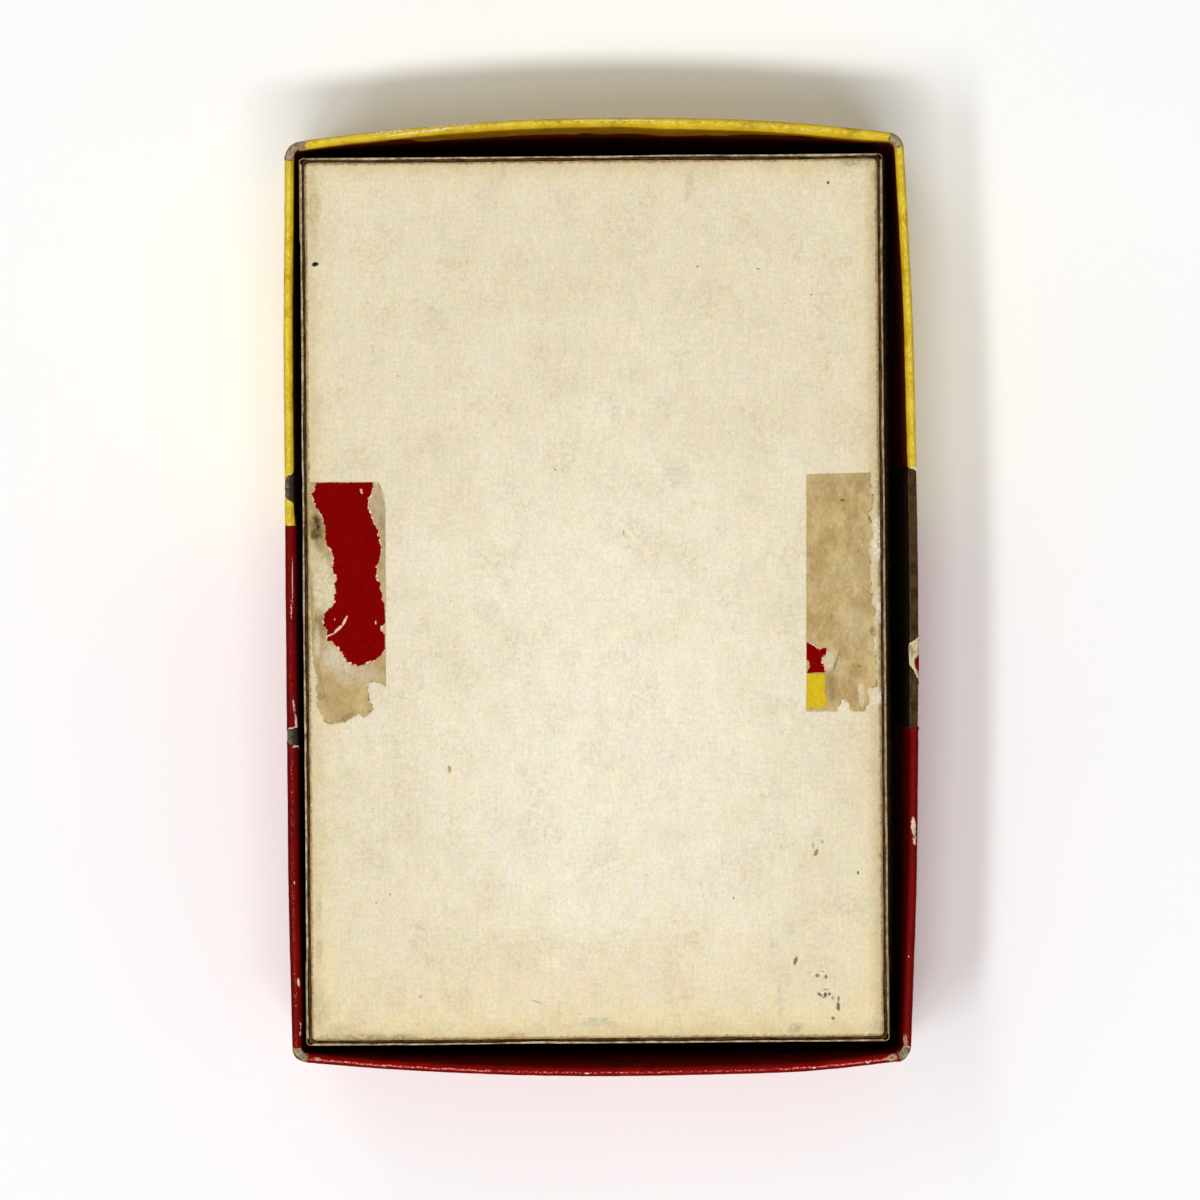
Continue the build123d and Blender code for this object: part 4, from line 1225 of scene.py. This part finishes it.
def leaflet():
    """The folded rules sheet: two leaves that meet in a round fold and stand slightly apart."""
    paper = 0.10
    low, high = box_mm("rules_leaflet")
    y_line = np.linspace(low[1], high[1], 40)
    width, _, height = high - low
    radius = (height - paper) / 2
    line = []
    for x in np.linspace(width, radius + paper, 30):
        line.append((x, paper / 2 + 0.03 * math.sin(math.pi * x / width), 0.0, 1.0))
    for a in np.radians(np.linspace(-90, -270, 13)[1:-1]):
        cos, sin = math.cos(a), math.sin(a)
        line.append((radius + paper / 2 + radius * cos, height / 2 + radius * sin, cos, -sin))
    for x in np.linspace(radius + paper, width - 0.4, 30):
        line.append((x, height - paper / 2 - 0.05 * math.sin(math.pi * x / width), 0.0, -1.0))
    front, back = [], []
    for x, z, nx, nz in line:
        for y in y_line:
            ripple = 0.02 * math.sin(y / 9.0) * math.sin(x / 11.0)
            place = np.array([low[0] + x, y, low[2] + min(max(z + ripple, paper / 2), height - paper / 2)])
            out = np.array([nx, 0, nz]) * paper / 2
            front.append(place + out)
            back.append(place - out)
    points, faces, _ = thick(np.array(front), np.array(back), grid_faces(len(line), len(y_line)))
    piece = new_piece("rules_sheet", points, faces, leaflet_material(), "leaflet")
    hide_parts("rules_leaflet")


def finish_node(node, material):
    """A CAD node keeps its shape and takes a finished material."""
    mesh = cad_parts[node].data
    mesh.materials.clear()
    mesh.materials.append(material)


# Stage, lights and camera


def stage():
    """Pale floor that keeps the object's shadow."""
    size = 1.5
    clearance = 0.05 * MM
    mesh = bpy.data.meshes.new("floor")
    mesh.from_pydata([(-size, -size, 0), (size, -size, 0), (size, size, 0), (-size, size, 0)], [], [(0, 1, 2, 3)])
    floor = bpy.data.objects.new("floor", mesh)
    bpy.context.scene.collection.objects.link(floor)
    m = Material("pale_floor", 0.9, 0.0)
    m.colour = m.mix((0.975, 0.975, 0.975), (0.99, 0.99, 0.99), m.noise(60, 2).step(0.3, 0.7))
    mesh.materials.append(m.finish())
    floor.location.z = -clearance


def lamp(name, left, right, low, high, share):
    """A soft rectangular lamp far off, between slopes seen from the object, giving a share of plain light."""
    distance = 3.0
    toward = Vector(((left + right) / 2, (low + high) / 2, 1.0))
    reach = toward.length * distance
    data = bpy.data.lights.new(name, "AREA")
    data.shape = "RECTANGLE"
    data.size = (right - left) * distance
    data.size_y = (high - low) * distance
    data.energy = share * math.pi ** 2 * reach ** 2 * toward.length
    z = toward.normalized()
    x = (Vector((1, 0, 0)) - z * z.x).normalized()
    holder = bpy.data.objects.new(name, data)
    holder.matrix_world = Matrix((x, z.cross(x), z)).transposed().to_4x4()
    holder.location = toward * distance
    bpy.context.scene.collection.objects.link(holder)


def lights():
    """A wide lamp from below the picture, a long strip on its left, and a dome that leaves out the sky overhead."""
    lamp("main_lamp_left", -0.24, 0.0, -0.415, -0.31, 0.245)
    lamp("main_lamp_right", 0.0, 0.31, -0.415, -0.31, 0.195)
    lamp("strip_lamp_low", -0.47, -0.38, -0.50, -0.13, 0.20)
    lamp("strip_lamp_high", -0.49, -0.38, -0.13, 0.90, 0.115)
    world = bpy.data.worlds.new("studio")
    bpy.context.scene.world = world
    world.use_nodes = True
    sky = Graph(world.node_tree)
    background = sky.tree.nodes["Background"]
    background.inputs["Color"].default_value = (1, 1, 1, 1)
    up = Value(sky, sky.node("SeparateXYZ", sky.value("TexCoord", output="Generated")).outputs[2])
    rays = sky.node("LightPath").outputs
    seen = sky.most(Value(sky, rays["Is Camera Ray"]), Value(sky, rays["Is Glossy Ray"]))
    strength = sky.value("MapRange", seen, None, None, up.step(0.90, 1.0, 0.28, 0.03), 1.0)
    sky.put(strength, background.inputs["Strength"])


def camera():
    """Looks straight down, as the photograph does, with the object a little off its middle and slightly turned."""
    pixels_per_mm = 9.3
    picture_width = 1200 / pixels_per_mm * MM
    off_x, off_y, turn = 0.215, -0.054, -0.48
    height = 0.62
    data = bpy.data.cameras.new("camera")
    data.sensor_width = 36
    data.lens = data.sensor_width * height / picture_width
    data.clip_end = 20
    holder = bpy.data.objects.new("camera", data)
    holder.location = (off_x * MM, off_y * MM, lid_depth * MM + height)
    holder.rotation_euler = (0, 0, math.radians(turn))
    bpy.context.scene.collection.objects.link(holder)
    bpy.context.scene.camera = holder


def build():
    camera()
    stage()
    lights()
    lid_wrap()
    lid_board()
    lid_face()
    lid_stays()
    tray_panel()
    tray_wall_sheets()
    seals()
    rim_scrap()
    cards()
    leaflet()
    finish_node("tray_board", tray_board_material())
    kraft = kraft_material()
    for name in corner_names.values():
        finish_node(f"tray_stay_{name}", kraft)
    bpy.context.scene.view_settings.view_transform = "Standard"


build()
